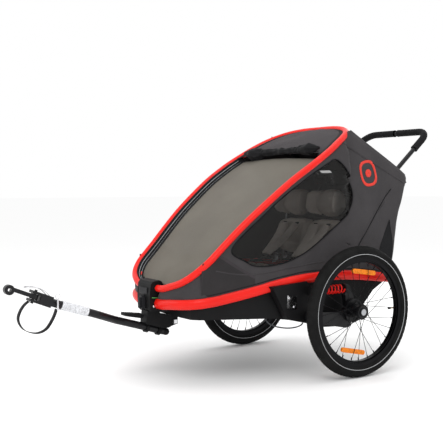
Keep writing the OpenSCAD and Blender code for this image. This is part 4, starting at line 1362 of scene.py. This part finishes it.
def make_harness():
    """Two padded shoulder straps for each seat, the lap and crotch straps and their buckle."""
    straps, buckles = [], []
    lift = Vector((0, -0.5, 0.8)).normalized()
    for s in (1, -1):
        for x in (62, 142):
            near = [x + (BUCKLE_X - x) * t for t in (0, 0, 0.25, 0.6, 0.9, 1)]
            line = [at(s * px, y, z) for px, (y, z) in zip(
                near, ((50, 572), (42, 560), (14, 522), (-40, 470), (-92, 430), (-112, 420)))]
            path = spaced(curve_points(line, 10), 0.006)
            straps.append(strap_mesh("strap", path, 25, 2, SLOTS["webbing"], lift))
            pad_path = [p + lift * 0.004 for p in path[2:int(len(path) * 0.86)]]
            straps.append(tube(
                "shoulder_pad", pad_path, 0, SLOTS["seat_fabric"], 16, flat=(54, 15), up=lift,
                shape=lambda t: min(1.0, 0.7 + 6 * min(t, 1 - t)) * (1 + 0.05 * math.sin(40 * t))))
        low = [at(s * BUCKLE_X, -140, 416), at(s * BUCKLE_X, -180, 409), at(s * BUCKLE_X, -236, 402)]
        straps.append(strap_mesh("crotch", spaced(curve_points(low, 8), 0.006), 25, 2, SLOTS["webbing"],
                                 Vector((0, 0, 1))))
        for edge in (-1, 1):
            lap = [at(s * (BUCKLE_X + edge * w), y, z)
                   for w, y, z in ((14, -132, 416), (48, -100, 415), (78, -50, 412), (90, 10, 404))]
            straps.append(strap_mesh("lap", spaced(curve_points(lap, 8), 0.006), 25, 2, SLOTS["webbing"],
                                     Vector((0, 0, 1))))
        buckles.append(pillow("buckle", lambda u, v, w: at(s * BUCKLE_X + u, -138 + v, 411 + w),
                              44, 52, 10, SLOTS["black_plastic"], 4.0, 0.35, 16))
        button = [at(s * BUCKLE_X, -138, 420), at(s * BUCKLE_X, -138, 423)]
        buckles.append(tube("button", button, 9, RED_CLOTH, 24))
    harness = join("harness_straps", straps)
    buckle = join("harness_buckle_set", buckles)
    for obj, node, slot in ((harness, "harness", "webbing"), (buckle, "harness_buckles", "black_plastic")):
        finish_piece(obj, "chassis", [node])
    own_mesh(harness)


make_cushion()
make_back()
make_harness()


# ---------------------------------------------------------------- handlebar, hitch and small parts
def make_nose():
    """Trim on the front connector: a green line, a light strip and screws."""
    parts = []
    x = 50.6
    for s in (1, -1):
        bow = [at(s * x, y, z) for y, z in ((-712, 318), (-690, 316), (-668, 320))]
        parts.append(tube("line", bow, 1.1, GREEN_LINE, 6))
        for y, z in ((-704, 286), (-676, 284)):
            ring = [at(s * x, y, z), at(s * (x + 1.8), y, z), at(s * (x + 2.4), y, z)]
            parts.append(tube("screw", ring, 4.6, SLOTS["bright_steel"], 16,
                              shape=lambda t: 1.0 if t < 0.7 else 0.7))
    strip = [at(-30 + 60 * k / 12, -720.6, 340) for k in range(13)]
    parts.append(tube("badge", strip, 0, SLOTS["grey_plastic"], 8, flat=(26, 2), up=Vector((0, 1, 0))))
    trim = join("connector_trim", parts)
    finish_piece(trim, "chassis")


def make_hitch():
    """Wire bail and pin of the hitch."""
    loop = [(66, -1104, 352), (66, -1129, 377), (66, -1157, 389), (62, -1184, 391), (50, -1192, 390),
            (38, -1184, 391), (34, -1157, 389), (34, -1129, 377), (34, -1104, 352)]
    path = spaced([at(*p) for p in curve_points(loop, 6)], 0.005)
    pin = [at(72, -1082, z) for z in (306, 309, 344, 347)]
    ring = [at(72, -1082 + 8 * math.cos(t), 354 + 8 * math.sin(t)) for t in turns_of(28)]
    wires = join("hitch_wires", [tube("bail", path, 1.6, SLOTS["bright_steel"], 8),
                                 tube("pin", pin, 3.4, SLOTS["bright_steel"], 12),
                                 tube("ring", ring, 1.3, SLOTS["bright_steel"], 8, closed=True)])
    finish_piece(wires, "drawbar")


def make_grip_ends():
    """Collars at both ends of each foam grip."""
    reach, half, corner = 312, 193, 60
    rise = math.radians(41)

    def bar(x, s):
        return at(x, HINGE[0] + s * math.cos(rise), HINGE[1] + s * math.sin(rise))

    parts = []
    low = reach - corner - 60
    for s in (1, -1):
        for ends in (((s * 10, reach), (s * 14, reach)), ((s * half, low), (s * half, low + 4))):
            parts.append(tube("collar", [bar(*end) for end in ends], 15.6, SLOTS["black_plastic"], 24))
    collars = join("grip_collars", parts)
    finish_piece(collars, "handlebar")


make_nose()
make_hitch()
make_grip_ends()
